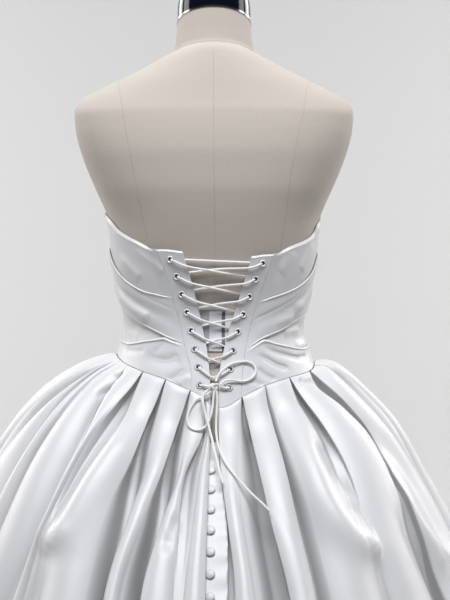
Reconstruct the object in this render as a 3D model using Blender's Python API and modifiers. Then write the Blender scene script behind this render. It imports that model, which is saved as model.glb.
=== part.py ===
"""Strapless laced ball gown of heavy satin on a limbless dress form.

Metres, +Z up. The gown's back faces +Y and its wearer's left is +X. The form
stands on the floor at z = 0, on its pole and round base.

Places on the gown are given by a wrap, the angle in degrees round the figure
(0 at the wearer's left side, 90 at centre back, 180 at the right side and
270 at centre front), a height, and a distance out from the form's surface.
"""
import bpy
import bmesh
from collections import namedtuple
from math import acos, copysign, cos, degrees, exp, radians, sin
from mathutils import Matrix, Vector

# ---------------------------------------------------------------- sizes
SEAM_GAP = 0.0004          # between pieces that meet at a seam
LACING_GAP = 0.0009        # between a lacing panel and the cloth beside it
CLOTH = 0.0014             # satin with its backing
BODICE_OUT = 0.0062        # outer face of the bodice, from the form
BAND_OUT = 0.0080          # outer face of the draped bands
LACING_OUT = 0.0085        # outer face of the lacing panels
LACING_CLOTH = 0.0023      # their thickness
STAY_OUT = 0.0018          # outer face of the waist stay
STAY_CLOTH = 0.0010
STAY_WRAPS = (56.0, 124.0)
STAY_HEIGHTS = (1.0858, 1.1356)
SKIRT_OUT = 0.0085         # outer face of the skirt at the waist seam
LEVEL_ROWS = 3.0           # over these rows above the hem the pleats turn level
SKIRT_CLOTH = 0.0015

BAND_FOLDS = (0.0, 0.0012, 0.0002, 0.0010, 0.0)   # a band's soft folds, edge to edge
BASQUE_FOLDS = (0.0, 0.0006, 0.0)

EYELET_HOLE = 0.0027
EYELET_RIM = 0.0045
EYELET_HEIGHT = 0.0008
PANEL_HOLE = 0.0033        # the hole in the panel under an eyelet
HOLE_DEPTH = 0.012
LACE_RADIUS = 0.0014

# The lace's centreline, from the form: over an eyelet, on a lacing panel, under
# a lacing panel, half way through an eyelet, and where two laces cross.
LACE_OVER = 0.0117
LACE_ON = 0.0110
LACE_UNDER = 0.0037
LACE_THROUGH = 0.0073
CROSSING_OVER = 0.0094
CROSSING_UNDER = 0.0056
LACE_RISE = 0.0014         # how far from an eyelet's middle it has come out
LACE_CREST = 0.0046        # and is highest
LACE_TURN = 0.0024         # and turns up into it from below
LONG_REACH = 0.012         # a stretch on a panel long enough for a point of its own
BAR_SHARES = (0.14, 0.38, 0.62, 0.86)   # points of the straight bar at the top

BUTTON_RADIUS = 0.0060
BUTTON_PROFILE = ((0, 0.0045), (0.0038, 0.0034), (BUTTON_RADIUS, 0.0012),
                  (BUTTON_RADIUS - 0.0006, 0), (0, 0))
BUTTON_COUNT = 13
BUTTON_PITCH = 0.029
BUTTON_X = 0.0032
FIRST_BUTTON_HEIGHT = 0.9473
PLACKET_DEPTH = 0.0060     # outer face of the placket below the skirt
PLACKET_LEFT_X = 0.0150
PLACKET_ROWS = (1.15, 6.7)

POLE_RADIUS = 0.0175
TORSO_FOOT = 0.80
BASE_RADIUS = 0.20
BASE_HEIGHT = 0.050
BASE_PROFILE = ((0, 0), (BASE_RADIUS, 0), (BASE_RADIUS, 0.010),
                (BASE_RADIUS - 0.008, 0.016), (0.060, 0.024), (0.034, 0.032),
                (0.030, BASE_HEIGHT), (0, BASE_HEIGHT))

TORSO_COLUMNS = 32
SIDE_COLUMNS = 9
FRONT_COLUMNS = 16
STAY_COLUMNS = 17
PLACKET_STEPS = 12
MID_HEIGHT = 1.15          # where a search for a height on the bodice starts

# ---------------------------------------------------------------- tables
Section = namedtuple("Section", "height half_width back front roundness tilt")

# The form's sections up to the shoulder tips.
BODY_SECTIONS = (
    Section(0.800, 0.1460, 0.112, 0.100, 2.20, 0.0),
    Section(0.900, 0.1600, 0.122, 0.108, 2.20, 0.0),
    Section(0.980, 0.1520, 0.117, 0.104, 2.20, 0.0),
    Section(1.040, 0.1335, 0.099, 0.094, 2.20, 0.0),
    Section(1.0785, 0.1185, 0.0855, 0.0885, 2.20, 0.0),
    Section(1.110, 0.1106, 0.0775, 0.0875, 2.20, 0.0),
    Section(1.140, 0.1141, 0.0774, 0.0915, 2.20, 0.0),
    Section(1.180, 0.1218, 0.0835, 0.1015, 2.25, 0.0),
    Section(1.220, 0.1290, 0.0915, 0.1100, 2.30, 0.0),
    Section(1.248, 0.1340, 0.0970, 0.1115, 2.35, 0.0),
    Section(1.264, 0.1400, 0.1000, 0.1110, 2.35, 0.0),
    Section(1.297, 0.1550, 0.1040, 0.1080, 2.40, 0.0),
    Section(1.331, 0.1690, 0.1040, 0.1000, 2.40, 0.0),
    Section(1.362, 0.1780, 0.1000, 0.0900, 2.40, 0.0),
    Section(1.387, 0.1810, 0.0940, 0.0800, 2.40, 0.0),
)

# From the shoulder tips up the slope to the neck, each tilted back a little more.
SHOULDER_SECTIONS = (
    Section(1.4000, 0.1785, 0.0890, 0.0740, 2.30, 0.00),
    Section(1.4095, 0.1715, 0.0855, 0.0710, 2.20, 0.00),
    Section(1.4163, 0.1600, 0.0830, 0.0690, 2.20, 0.00),
    Section(1.4278, 0.1350, 0.0780, 0.0660, 2.20, 0.04),
    Section(1.4392, 0.1100, 0.0730, 0.0630, 2.10, 0.08),
    Section(1.4507, 0.0850, 0.0670, 0.0600, 2.10, 0.14),
    Section(1.4594, 0.0660, 0.0610, 0.0580, 2.00, 0.20),
    Section(1.4655, 0.0527, 0.0500, 0.0550, 2.00, 0.29),
    Section(1.4780, 0.0505, 0.0470, 0.0500, 2.00, 0.32),
    Section(1.4940, 0.0487, 0.0455, 0.0480, 2.00, 0.35),
    Section(1.5075, 0.0476, 0.0445, 0.0470, 2.00, 0.38),
)

CAP_SECTIONS = (
    Section(1.5079, 0.0477, 0.0446, 0.0471, 2.00, 0.38),
    Section(1.5250, 0.0477, 0.0446, 0.0471, 2.00, 0.36),
    Section(1.5360, 0.0462, 0.0432, 0.0456, 2.00, 0.34),
    Section(1.5430, 0.0410, 0.0385, 0.0405, 2.00, 0.32),
    Section(1.5475, 0.0300, 0.0280, 0.0295, 2.00, 0.30),
    Section(1.5495, 0.0150, 0.0140, 0.0145, 2.00, 0.28),
)

BUST_OUT = 0.026           # how far the bust stands out
BUST_X = 0.072
BUST_HEIGHT = 1.225
BUST_SPREAD_X = 0.048
BUST_SPREAD_Z = 0.055

Edge = namedtuple("Edge", "wrap height")

TOP_EDGE = tuple(Edge(*row) for row in (
    (-90, 1.262), (-70, 1.275), (-45, 1.287), (-20, 1.272), (0, 1.2625), (8, 1.2585),
    (17, 1.2515), (26, 1.2410), (35, 1.2330), (46, 1.2240), (57, 1.2145), (68, 1.2133),
    (75, 1.2112), (90, 1.208), (108, 1.205), (114, 1.2068), (125, 1.209),
    (135, 1.2176), (152, 1.2276), (163, 1.2371), (168, 1.2470), (180, 1.2555),
    (200, 1.269), (225, 1.284), (250, 1.274), (270, 1.262),
))

WAIST_SEAM = tuple(Edge(*row) for row in (
    (-90, 1.012), (-60, 1.048), (-30, 1.070), (0, 1.081), (11, 1.0786), (33, 1.0687),
    (50, 1.0603), (67, 1.0503), (80, 1.0375), (86, 1.0300), (90, 1.0180),
    (94, 1.0174), (102, 1.0290), (106, 1.0343), (115, 1.0433), (132, 1.0525),
    (158, 1.0607), (180, 1.0699), (210, 1.063), (240, 1.045), (270, 1.012),
))

BAND_TOP = tuple(Edge(*row) for row in (
    (-90, 1.186), (-45, 1.205), (0, 1.2185), (5, 1.2147), (14, 1.1975), (29, 1.178),
    (46, 1.1626), (57, 1.1576), (67, 1.1535), (90, 1.146), (115, 1.1481),
    (124, 1.1538), (137, 1.1614), (151, 1.1721), (165, 1.1878), (174, 1.2056),
    (180, 1.2120), (225, 1.202), (270, 1.186),
))

BAND_BOTTOM = tuple(Edge(*row) for row in (
    (-90, 1.108), (-45, 1.132), (0, 1.150), (11, 1.1435), (33, 1.1258), (51, 1.1121),
    (66, 1.1001), (75, 1.0942), (90, 1.083), (107, 1.0882), (118, 1.1001),
    (136, 1.112), (150, 1.1226), (165, 1.1305), (180, 1.136), (225, 1.126),
    (270, 1.108),
))

BASQUE_TOP = tuple(Edge(*row) for row in (
    (-90, 1.083), (-45, 1.094), (0, 1.0990), (16, 1.0973), (31, 1.0952), (49, 1.0990),
    (58, 1.1005), (66, 1.0985), (75, 1.0926), (90, 1.081), (107, 1.0866),
    (118, 1.0980), (130, 1.0938), (145, 1.0890), (172, 1.0902), (180, 1.092),
    (225, 1.092), (270, 1.083),
))

# Where the lacing panels lie: distances from centre back, by height.
Lacing = namedtuple("Lacing", "height left_outer left_inner right_inner right_outer")
LACING_EDGES = (
    Lacing(1.010, 0.0290, 0.0036, 0.0056, 0.0340),
    Lacing(1.030, 0.0290, 0.0038, 0.0063, 0.0343),
    Lacing(1.060, 0.0280, 0.0050, 0.0075, 0.0362),
    Lacing(1.090, 0.0358, 0.0087, 0.0135, 0.0406),
    Lacing(1.120, 0.0420, 0.0150, 0.0219, 0.0471),
    Lacing(1.150, 0.0505, 0.0217, 0.0314, 0.0558),
    Lacing(1.180, 0.0591, 0.0299, 0.0408, 0.0661),
    Lacing(1.215, 0.0729, 0.0404, 0.0507, 0.0785),
)

Eyelets = namedtuple("Eyelets", "left_x left_height right_x right_height")
EYELETS = (
    Eyelets(0.0543, 1.2010, -0.0614, 1.1960),
    Eyelets(0.0460, 1.1796, -0.0523, 1.1761),
    Eyelets(0.0399, 1.1571, -0.0447, 1.1541),
    Eyelets(0.0333, 1.1344, -0.0370, 1.1319),
    Eyelets(0.0282, 1.1116, -0.0302, 1.1099),
    Eyelets(0.0234, 1.0886, -0.0241, 1.0867),
    Eyelets(0.0190, 1.0663, -0.0207, 1.0637),
    Eyelets(0.0168, 1.0441, -0.0195, 1.0410),
)

# The skirt's rings below the waist seam, from the seam's dome to the hem.
Ring = namedtuple("Ring", "side middle left right back front roundness")
SKIRT_RINGS = (
    Ring(1.066, 0.985, 0.170, 0.156, 0.132, 0.135, 2.10),
    Ring(1.036, 0.940, 0.2145, 0.190, 0.175, 0.178, 2.05),
    Ring(0.990, 0.885, 0.255, 0.231, 0.222, 0.225, 2.00),
    Ring(0.930, 0.820, 0.291, 0.264, 0.268, 0.270, 2.00),
    Ring(0.850, 0.740, 0.328, 0.307, 0.318, 0.320, 2.00),
    Ring(0.730, 0.630, 0.383, 0.367, 0.378, 0.380, 2.00),
    Ring(0.560, 0.490, 0.457, 0.446, 0.455, 0.455, 2.00),
    Ring(0.310, 0.290, 0.570, 0.565, 0.567, 0.567, 2.00),
    Ring(0.012, 0.012, 0.690, 0.690, 0.690, 0.690, 2.00),
)
HEM_ROW = len(SKIRT_RINGS)

# Each pleat's hollow: its middle's wrap at the waist seam, at rows 2 and 4.5 and
# at the hem, its width there in degrees, its depth there, and how far its floor
# leans under the next panel, as a share of its width.
Pleat = namedtuple("Pleat", "wraps widths depths lean")
PLEAT_ROWS = (0.0, 2.0, 4.5, float(HEM_ROW))
PLEATS = (
    Pleat((16.0, 20.0, 17.0, 16.0), (2.0, 2.4, 3.2, 6.0), (0.002, 0.012, 0.026, 0.046), 0.3),
    Pleat((35.0, 44.0, 46.0, 38.0), (2.0, 2.6, 3.4, 6.0), (0.002, 0.016, 0.030, 0.050), 0.3),
    Pleat((50.5, 52.5, 55.0, 55.0), (2.0, 2.2, 2.6, 5.5), (0.002, 0.008, 0.012, 0.042), 0.2),
    Pleat((66.6, 66.0, 64.0, 68.0), (1.8, 3.6, 3.2, 5.5), (0.002, 0.020, 0.030, 0.048), 0.2),
    Pleat((80.0, 76.4, 72.4, 79.5), (1.8, 3.4, 3.2, 5.0), (0.002, 0.022, 0.032, 0.044), 0.2),
    Pleat((102.2, 103.6, 105.2, 99.5), (1.8, 4.2, 5.6, 5.5), (0.002, 0.022, 0.032, 0.046), 0.2),
    Pleat((115.0, 116.6, 116.6, 113.0), (1.8, 2.6, 3.4, 5.5), (0.002, 0.012, 0.024, 0.048), -0.2),
    Pleat((132.6, 136.2, 133.0, 129.0), (2.0, 2.6, 3.0, 6.0), (0.002, 0.016, 0.016, 0.046), -0.3),
    Pleat((154.5, 154.0, 152.0, 147.0), (2.0, 2.6, 3.4, 6.0), (0.002, 0.016, 0.028, 0.050), -0.3),
    Pleat((168.0, 168.0, 166.5, 165.0), (2.0, 2.2, 3.0, 6.0), (0.002, 0.010, 0.020, 0.044), -0.3),
    Pleat((196.0, 195.0, 194.0, 187.0), (2.0, 2.6, 3.4, 6.0), (0.002, 0.014, 0.026, 0.048), 0.3),
    Pleat((214.0, 212.0, 210.0, 205.0), (2.0, 2.8, 3.6, 6.5), (0.002, 0.016, 0.030, 0.052), 0.3),
    Pleat((231.0, 229.0, 227.0, 224.0), (2.0, 3.0, 3.6, 6.0), (0.002, 0.016, 0.030, 0.050), 0.3),
    Pleat((247.0, 246.0, 245.0, 242.0), (2.0, 3.0, 3.4, 5.5), (0.002, 0.018, 0.028, 0.048), 0.3),
    Pleat((261.0, 261.5, 261.0, 260.5), (2.0, 3.0, 3.4, 5.5), (0.002, 0.018, 0.028, 0.048), 0.3),
    Pleat((279.0, 278.5, 279.0, 279.5), (2.0, 3.0, 3.4, 5.5), (0.002, 0.018, 0.028, 0.048), -0.3),
    Pleat((293.0, 294.0, 295.0, 298.0), (2.0, 3.0, 3.4, 5.5), (0.002, 0.018, 0.028, 0.048), -0.3),
    Pleat((309.0, 311.0, 313.0, 316.0), (2.0, 3.0, 3.6, 6.0), (0.002, 0.016, 0.030, 0.050), -0.3),
    Pleat((326.0, 328.0, 330.0, 335.0), (2.0, 2.8, 3.6, 6.5), (0.002, 0.016, 0.030, 0.052), -0.3),
    Pleat((344.0, 345.0, 346.0, 353.0), (2.0, 2.6, 3.4, 6.0), (0.002, 0.014, 0.026, 0.048), -0.3),
)
PANEL_BULGE = (0.0, 0.004, 0.010, 0.018)   # of the cloth between two hollows

# The skirt's centre back opening: the edges' distances from the middle, by row.
Opening = namedtuple("Opening", "row left_edge right_edge strip_edge")
OPENING = (
    Opening(0.0, 0.0031, -0.0060, -0.0050),
    Opening(1.0, 0.0031, -0.0066, -0.0058),
    Opening(2.0, 0.0068, -0.0100, -0.0096),
    Opening(3.0, 0.0088, -0.0175, -0.0165),
    Opening(4.0, 0.0090, -0.0232, -0.0172),
    Opening(5.0, 0.0084, -0.0210, -0.0160),
    Opening(6.0, 0.0070, -0.0130, -0.0150),
    Opening(7.0, 0.0002, -0.0002, -0.0150),
    Opening(float(HEM_ROW), 0.0002, -0.0002, -0.0150),
)
CLOSED_ROW = 7             # from here down centre back is a plain seam

# Routes of the bow's cords: distance from centre back, height, lift off the cloth.
Route = namedtuple("Route", "x height lift")
KNOT = Route(-0.0015, 1.0425, 0.0062)
KNOT_RADII = (0.0052, 0.0034, 0.0042)
LOOP_RIGHT = tuple(Route(*row) for row in (
    (-0.0030, 1.0492, 0.0075), (-0.0062, 1.0570, 0.0060), (-0.0120, 1.0635, 0.0052),
    (-0.0190, 1.0688, 0.0044), (-0.0262, 1.0716, 0.0036), (-0.0340, 1.0728, 0.0026),
    (-0.0420, 1.0728, 0.0022), (-0.0490, 1.0695, 0.0022), (-0.0525, 1.0630, 0.0022),
    (-0.0505, 1.0556, 0.0022), (-0.0440, 1.0506, 0.0022), (-0.0365, 1.0488, 0.0024),
    (-0.0290, 1.0496, 0.0030), (-0.0210, 1.0506, 0.0042), (-0.0140, 1.0494, 0.0052),
    (-0.0084, 1.0452, 0.0066),
))
LOOP_LEFT = tuple(Route(*row) for row in (
    (0.0030, 1.0366, 0.0070), (0.0072, 1.0330, 0.0066), (0.0128, 1.0298, 0.0050),
    (0.0190, 1.0262, 0.0046), (0.0252, 1.0196, 0.0034), (0.0300, 1.0106, 0.0026),
    (0.0318, 1.0020, 0.0024), (0.0300, 0.9935, 0.0024), (0.0248, 0.9888, 0.0024),
    (0.0182, 0.9880, 0.0024), (0.0120, 0.9904, 0.0026), (0.0072, 0.9956, 0.0040),
    (0.0038, 1.0030, 0.0060), (0.0018, 1.0120, 0.0068), (0.0008, 1.0210, 0.0070),
    (0.0000, 1.0300, 0.0070), (-0.0008, 1.0368, 0.0070),
))
END_LONG = tuple(Route(*row) for row in (
    (-0.0040, 1.0368, 0.0066), (-0.0046, 1.0300, 0.0066), (-0.0044, 1.0200, 0.0066),
    (-0.0038, 1.0080, 0.0056), (-0.0034, 0.9960, 0.0046), (-0.0036, 0.9840, 0.0036),
    (-0.0058, 0.9700, 0.0030), (-0.0104, 0.9575, 0.0026), (-0.0175, 0.9455, 0.0026),
    (-0.0250, 0.9365, 0.0026), (-0.0330, 0.9277, 0.0026), (-0.0410, 0.9190, 0.0026),
    (-0.0493, 0.9112, 0.0026), (-0.0580, 0.9036, 0.0026), (-0.0668, 0.8950, 0.0026),
))
END_SHORT = tuple(Route(*row) for row in (
    (0.0066, 1.0384, 0.0072), (0.0114, 1.0345, 0.0090), (0.0134, 1.0275, 0.0096),
    (0.0128, 1.0190, 0.0090), (0.0108, 1.0100, 0.0080), (0.0086, 1.0010, 0.0076),
    (0.0066, 0.9935, 0.0076), (0.0046, 0.9860, 0.0070), (0.0020, 0.9770, 0.0056),
    (0.0000, 0.9690, 0.0042), (-0.0020, 0.9610, 0.0036), (-0.0045, 0.9520, 0.0030),
    (-0.0066, 0.9440, 0.0026), (-0.0092, 0.9350, 0.0026), (-0.0122, 0.9256, 0.0026),
))

Colour = namedtuple("Colour", "red green blue roughness metallic")
SATIN = Colour(0.90, 0.90, 0.92, 0.42, 0.0)
SATIN_CORD = Colour(0.93, 0.93, 0.93, 0.38, 0.0)
LINEN = Colour(0.56, 0.51, 0.45, 0.85, 0.0)
LACQUER = Colour(0.010, 0.012, 0.025, 0.15, 0.0)
STEEL = Colour(0.10, 0.10, 0.11, 0.35, 1.0)
ENAMEL = Colour(0.86, 0.86, 0.86, 0.30, 0.0)
STAY_TAPE = Colour(0.72, 0.72, 0.74, 0.60, 0.0)


# ---------------------------------------------------------------- helpers
def clear_scene():
    for old in list(bpy.data.objects):
        bpy.data.objects.remove(old, do_unlink=True)


def make_collection(name):
    found = bpy.data.collections.new(name)
    bpy.context.scene.collection.children.link(found)
    return found


def make_material(name, colour):
    """A Principled finish of one colour."""
    material = bpy.data.materials.new(name)
    material.use_nodes = True
    shader = material.node_tree.nodes["Principled BSDF"]
    shader.inputs["Base Color"].default_value = (colour.red, colour.green, colour.blue, 1)
    shader.inputs["Roughness"].default_value = colour.roughness
    shader.inputs["Metallic"].default_value = colour.metallic
    return material


def add_mesh_object(name, form, colour, smooth=True):
    """A named object in the gown's collection, with its own material."""
    mesh = bpy.data.meshes.new(name)
    form.to_mesh(mesh)
    form.free()
    made = bpy.data.objects.new(name, mesh)
    mesh.materials.append(make_material(name + "_finish", colour))
    GOWN.objects.link(made)
    for face in mesh.polygons:
        face.use_smooth = smooth
    return made


def blend(low, high, share):
    return low + (high - low) * share


def smooth_value(before, low, high, after, share):
    """A smooth curve through four evenly spaced values, between the middle two."""
    return 0.5 * (2 * low + (high - before) * share
                  + (2 * before - 5 * low + 4 * high - after) * share ** 2
                  + (3 * low - before - 3 * high + after) * share ** 3)


def along_table(rows, key, value, at):
    """Read a column of a table at a place between its rows, along smooth slopes."""
    places = [getattr(row, key) for row in rows]
    values = [getattr(row, value) for row in rows]
    return along(places, values, at)


def along(places, values, at):
    """A smooth curve through the values, level wherever the table is level."""
    at = min(max(at, places[0]), places[-1])
    last = len(places) - 2
    step = next((i for i in range(last + 1) if at <= places[i + 1]), last)
    width = places[step + 1] - places[step]
    share = (at - places[step]) / width

    def step_slope(i):
        return (values[i + 1] - values[i]) / (places[i + 1] - places[i])

    def slope(i):
        if i in (0, last + 1):
            return step_slope(min(i, last))
        if not step_slope(i - 1) * step_slope(i):
            return 0.0
        return (values[i + 1] - values[i - 1]) / (places[i + 1] - places[i - 1])

    start, end = slope(step) * width, slope(step + 1) * width
    rise = values[step + 1] - values[step]
    return (values[step] + start * share + (3 * rise - 2 * start - end) * share ** 2
            + (start + end - 2 * rise) * share ** 3)


def edge_height(edge, wrap):
    return along_table(edge, "wrap", "height", wrap)


def power(value, exponent):
    return copysign(abs(value) ** exponent, value)


# ---------------------------------------------------------------- the figure
def bust(x, height):
    """How far the front stands out over the two cups."""
    rise = exp(-((height - BUST_HEIGHT) / BUST_SPREAD_Z) ** 2)
    return BUST_OUT * rise * sum(exp(-((x - side) / BUST_SPREAD_X) ** 2)
                                 for side in (-BUST_X, BUST_X))


def section_point(section, wrap, out=0.0):
    """A point on a rounded section, which may be tilted up towards the back."""
    turn = radians(wrap)
    across, deep = cos(turn), sin(turn)
    depth = section.back if deep >= 0 else section.front
    x = (section.half_width + out) * power(across, 2 / section.roundness)
    y = (depth + out) * power(deep, 2 / section.roundness)
    if deep < 0:
        y -= bust(x, section.height) * abs(deep)
    return Vector((x, y, section.height + section.tilt * y))


def body_section(height):
    values = [along_table(BODY_SECTIONS, "height", column, height)
              for column in ("half_width", "back", "front", "roundness")]
    return Section(height, *values, 0.0)


def body_point(wrap, height, out):
    """A point a distance out from the form, up to the shoulders."""
    return section_point(body_section(height), wrap, out)


def back_wrap(x, height, out):
    """The wrap of a point on the back, from its distance from centre back."""
    section = body_section(height)
    share = min(abs(x) / (section.half_width + out), 1.0)
    wrap = degrees(acos(share ** (section.roundness / 2)))
    return wrap if x >= 0 else 180 - wrap


def back_point(x, height, out):
    return body_point(back_wrap(x, height, out), height, out)


# ---------------------------------------------------------------- walls
def wall(name, outer, inner, colour, closed=False):
    """A cloth wall between an outer and an inner grid of points."""
    form = bmesh.new()
    skins = [[[form.verts.new(point) for point in row] for row in grid]
             for grid in (outer, inner)]
    rows, columns = len(outer), len(outer[0])
    steps = columns if closed else columns - 1
    for skin in skins:
        for i in range(rows - 1):
            for j in range(steps):
                k = (j + 1) % columns
                form.faces.new((skin[i][j], skin[i][k], skin[i + 1][k], skin[i + 1][j]))
    out, back = skins
    for i in (0, rows - 1):
        for j in range(steps):
            k = (j + 1) % columns
            form.faces.new((out[i][j], out[i][k], back[i][k], back[i][j]))
    if not closed:
        for j in (0, columns - 1):
            for i in range(rows - 1):
                form.faces.new((out[i][j], out[i + 1][j], back[i + 1][j], back[i][j]))
    bmesh.ops.recalc_face_normals(form, faces=form.faces)
    return add_mesh_object(name, form, colour)


def loft(name, sections, columns, colour):
    """A closed solid through rings, flat at both ends."""
    form = bmesh.new()
    rings = [[form.verts.new(section_point(section, 360 * j / columns))
              for j in range(columns)] for section in sections]
    for low, high in zip(rings, rings[1:]):
        for j in range(columns):
            k = (j + 1) % columns
            form.faces.new((low[j], low[k], high[k], high[j]))
    form.faces.new(rings[0])
    form.faces.new(rings[-1])
    bmesh.ops.recalc_face_normals(form, faces=form.faces)
    return add_mesh_object(name, form, colour)


def seam_turn(height, out):
    """Half the gap at a side seam, as a wrap."""
    return degrees(SEAM_GAP / 2 / (body_section(height).half_width + out))


def lacing_x(column, height):
    distance = along_table(LACING_EDGES, "height", column, height)
    return distance if column.startswith("left") else -distance


def panel_wrap(side, share, height, out):
    """The wrap at a share of a panel's width: from the side seam on."""
    gap = seam_turn(height, out)
    if side == "front":
        return blend(180 + gap, 360 - gap, share)
    start = gap if side == "left" else 180 - gap
    edge = lacing_x(side + "_outer", height)
    edge += copysign(LACING_GAP, edge)
    return blend(start, back_wrap(edge, height, out), share)


def table_wrap(wrap):
    """The edge tables run from centre front round the back to centre front."""
    return wrap - 360 if wrap > 270 else wrap


def panel_grid(side, levels, outs, columns):
    """Points of a bodice panel, a row at each level from its bottom edge up.

    A level gives a height from a wrap, and outs the distance out from the form.
    """
    grid = []
    for level, out in zip(levels, outs):
        row = []
        for j in range(columns + 1):
            height = MID_HEIGHT
            for _ in range(6):
                wrap = panel_wrap(side, j / columns, height, out)
                height = level(table_wrap(wrap))
            row.append(body_point(wrap, height, out))
        grid.append(row)
    return grid


def bodice_panel(name, side, levels, outs, thickness=CLOTH):
    """One cloth piece of the bodice, on the form's own shape."""
    columns = FRONT_COLUMNS if side == "front" else SIDE_COLUMNS
    outer = panel_grid(side, levels, outs, columns)
    inner = panel_grid(side, levels, [out - thickness for out in outs], columns)
    return wall(name, outer, inner, SATIN)


# ---------------------------------------------------------------- the form
def make_form():
    sections = BODY_SECTIONS + SHOULDER_SECTIONS
    loft("form_torso", sections, TORSO_COLUMNS, LINEN)
    loft("form_neck_cap", CAP_SECTIONS, TORSO_COLUMNS, LACQUER)
    low, high = BASE_HEIGHT + SEAM_GAP, TORSO_FOOT - SEAM_GAP
    bpy.ops.mesh.primitive_cylinder_add(vertices=20, radius=POLE_RADIUS,
                                        depth=high - low, location=(0, 0, (low + high) / 2))
    adopt(bpy.context.object, "form_pole", STEEL)
    turned("form_base", BASE_PROFILE, 32, STEEL)


def adopt(made, name, colour):
    """Name a primitive, give it its finish and put it with the gown."""
    made.name = name
    made.data.name = name
    made.data.materials.append(make_material(name + "_finish", colour))
    for holder in list(made.users_collection):
        holder.objects.unlink(made)
    GOWN.objects.link(made)
    return made


def turned(name, profile, steps, colour, matrix=None, closed=False):
    """A turned solid: a profile of radii and heights with a Screw modifier."""
    form = bmesh.new()
    points = [form.verts.new((radius, 0, height)) for radius, height in profile]
    ends = points[1:] + points[:1] if closed else points[1:]
    for start, end in zip(points, ends):
        form.edges.new((start, end))
    made = add_mesh_object(name, form, colour)
    screw = made.modifiers.new("turn", "SCREW")
    screw.steps = steps
    screw.render_steps = steps
    screw.use_merge_vertices = True
    screw.merge_threshold = 0.00005
    screw.use_normal_calculate = True
    screw.use_normal_flip = closed
    if matrix is not None:
        made.matrix_world = matrix
    return made


# ---------------------------------------------------------------- the bodice
def between(low, high, share):
    """A level at a share of the way from one level up to another."""
    def level(wrap):
        return blend(low(wrap), high(wrap), share)
    return level


def make_bodice():
    def seam(wrap):
        return edge_height(WAIST_SEAM, wrap) + SEAM_GAP / 2

    def neckline(wrap):
        return edge_height(TOP_EDGE, wrap)

    def band_low(wrap):
        return edge_height(BAND_BOTTOM, wrap)

    def band_high(wrap):
        return edge_height(BAND_TOP, wrap)

    def basque_high(wrap):
        return min(edge_height(BASQUE_TOP, wrap), band_low(wrap) - 2 * SEAM_GAP)

    basque = [between(seam, basque_high, share) for share in (0, 0.5, 1)]
    band = [between(band_low, band_high, share) for share in (0, 0.25, 0.5, 0.75, 1)]
    top = [between(band_high, neckline, share) for share in (0.5, 1)]
    whole = basque + band + top
    band_outs = [BAND_OUT + fold for fold in BAND_FOLDS]
    basque_outs = [BAND_OUT + fold for fold in BASQUE_FOLDS]
    for side, place in (("front", "front"), ("left", "back_left"), ("right", "back_right")):
        bodice_panel("bodice_" + place, side, whole, [BODICE_OUT] * len(whole))
        bodice_panel("drape_band_" + side, side, band, band_outs)
        bodice_panel("basque_" + side, side, basque, basque_outs)
    make_stay()
    for side in ("left", "right"):
        make_lacing_panel(side)


def make_stay():
    """The waist stay, a ribbon inside the bodice."""
    grids = []
    for out in (STAY_OUT, STAY_OUT - STAY_CLOTH):
        grids.append([[body_point(blend(*STAY_WRAPS, j / STAY_COLUMNS),
                                  blend(*STAY_HEIGHTS, share), out)
                       for j in range(STAY_COLUMNS + 1)] for share in (0, 0.5, 1)])
    wall("waist_stay", *grids, STAY_TAPE)


def lacing_grid(side, out, columns=3, rows=12):
    grid = []
    for i in range(rows + 1):
        row = []
        for j in range(columns + 1):
            height = MID_HEIGHT
            for _ in range(8):
                outer = lacing_x(side + "_outer", height)
                x = blend(outer, lacing_x(side + "_inner", height), j / columns)
                wrap = back_wrap(x, height, out)
                low = edge_height(WAIST_SEAM, wrap) + SEAM_GAP / 2
                high = edge_height(TOP_EDGE, wrap)
                height = blend(low, high, i / rows)
            row.append(back_point(x, height, out))
        grid.append(row)
    return grid


def surface_frame(x, height, out):
    """A matrix with its Z axis out of the cloth at a place on the back."""
    step = 0.004
    here = back_point(x, height, out)
    across = back_point(x + step, height, out) - back_point(x - step, height, out)
    up = back_point(x, height + step, out) - back_point(x, height - step, out)
    normal = up.cross(across).normalized()
    if normal.y < 0:
        normal.negate()
    side = across.normalized()
    frame = Matrix((side, normal.cross(side), normal)).transposed().to_4x4()
    frame.translation = here
    return frame


def make_lacing_panel(side):
    """A lacing panel with a hole for each of its eyelets, and the eyelets."""
    inside = LACING_OUT - LACING_CLOTH
    panel = wall("lacing_panel_" + side, lacing_grid(side, LACING_OUT),
                 lacing_grid(side, inside), SATIN)
    for number, pair in enumerate(EYELETS, 1):
        x = getattr(pair, side + "_x")
        height = getattr(pair, side + "_height")
        cut_hole(panel, x, height, number)
        frame = surface_frame(x, height, LACING_OUT + SEAM_GAP)
        profile = ((EYELET_HOLE + 0.0002, EYELET_HEIGHT),
                   (EYELET_RIM - 0.0006, EYELET_HEIGHT), (EYELET_RIM, 0), (EYELET_HOLE, 0))
        turned("eyelet_%s_%d" % (side, number), profile, 10, ENAMEL, frame, closed=True)


def cut_hole(panel, x, height, number):
    form = bmesh.new()
    bmesh.ops.create_cone(form, cap_ends=True, segments=12, radius1=PANEL_HOLE,
                          radius2=PANEL_HOLE, depth=HOLE_DEPTH)
    mesh = bpy.data.meshes.new("hole")
    form.to_mesh(mesh)
    form.free()
    cutter = bpy.data.objects.new("%s_hole_%d" % (panel.name, number), mesh)
    CUTTERS.objects.link(cutter)
    cutter.hide_render = True
    cutter.display_type = "WIRE"
    cutter.matrix_world = surface_frame(x, height, LACING_OUT)
    cut = panel.modifiers.new("hole", "BOOLEAN")
    cut.object = cutter
    cut.operation = "DIFFERENCE"
    cut.solver = "EXACT"


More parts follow.
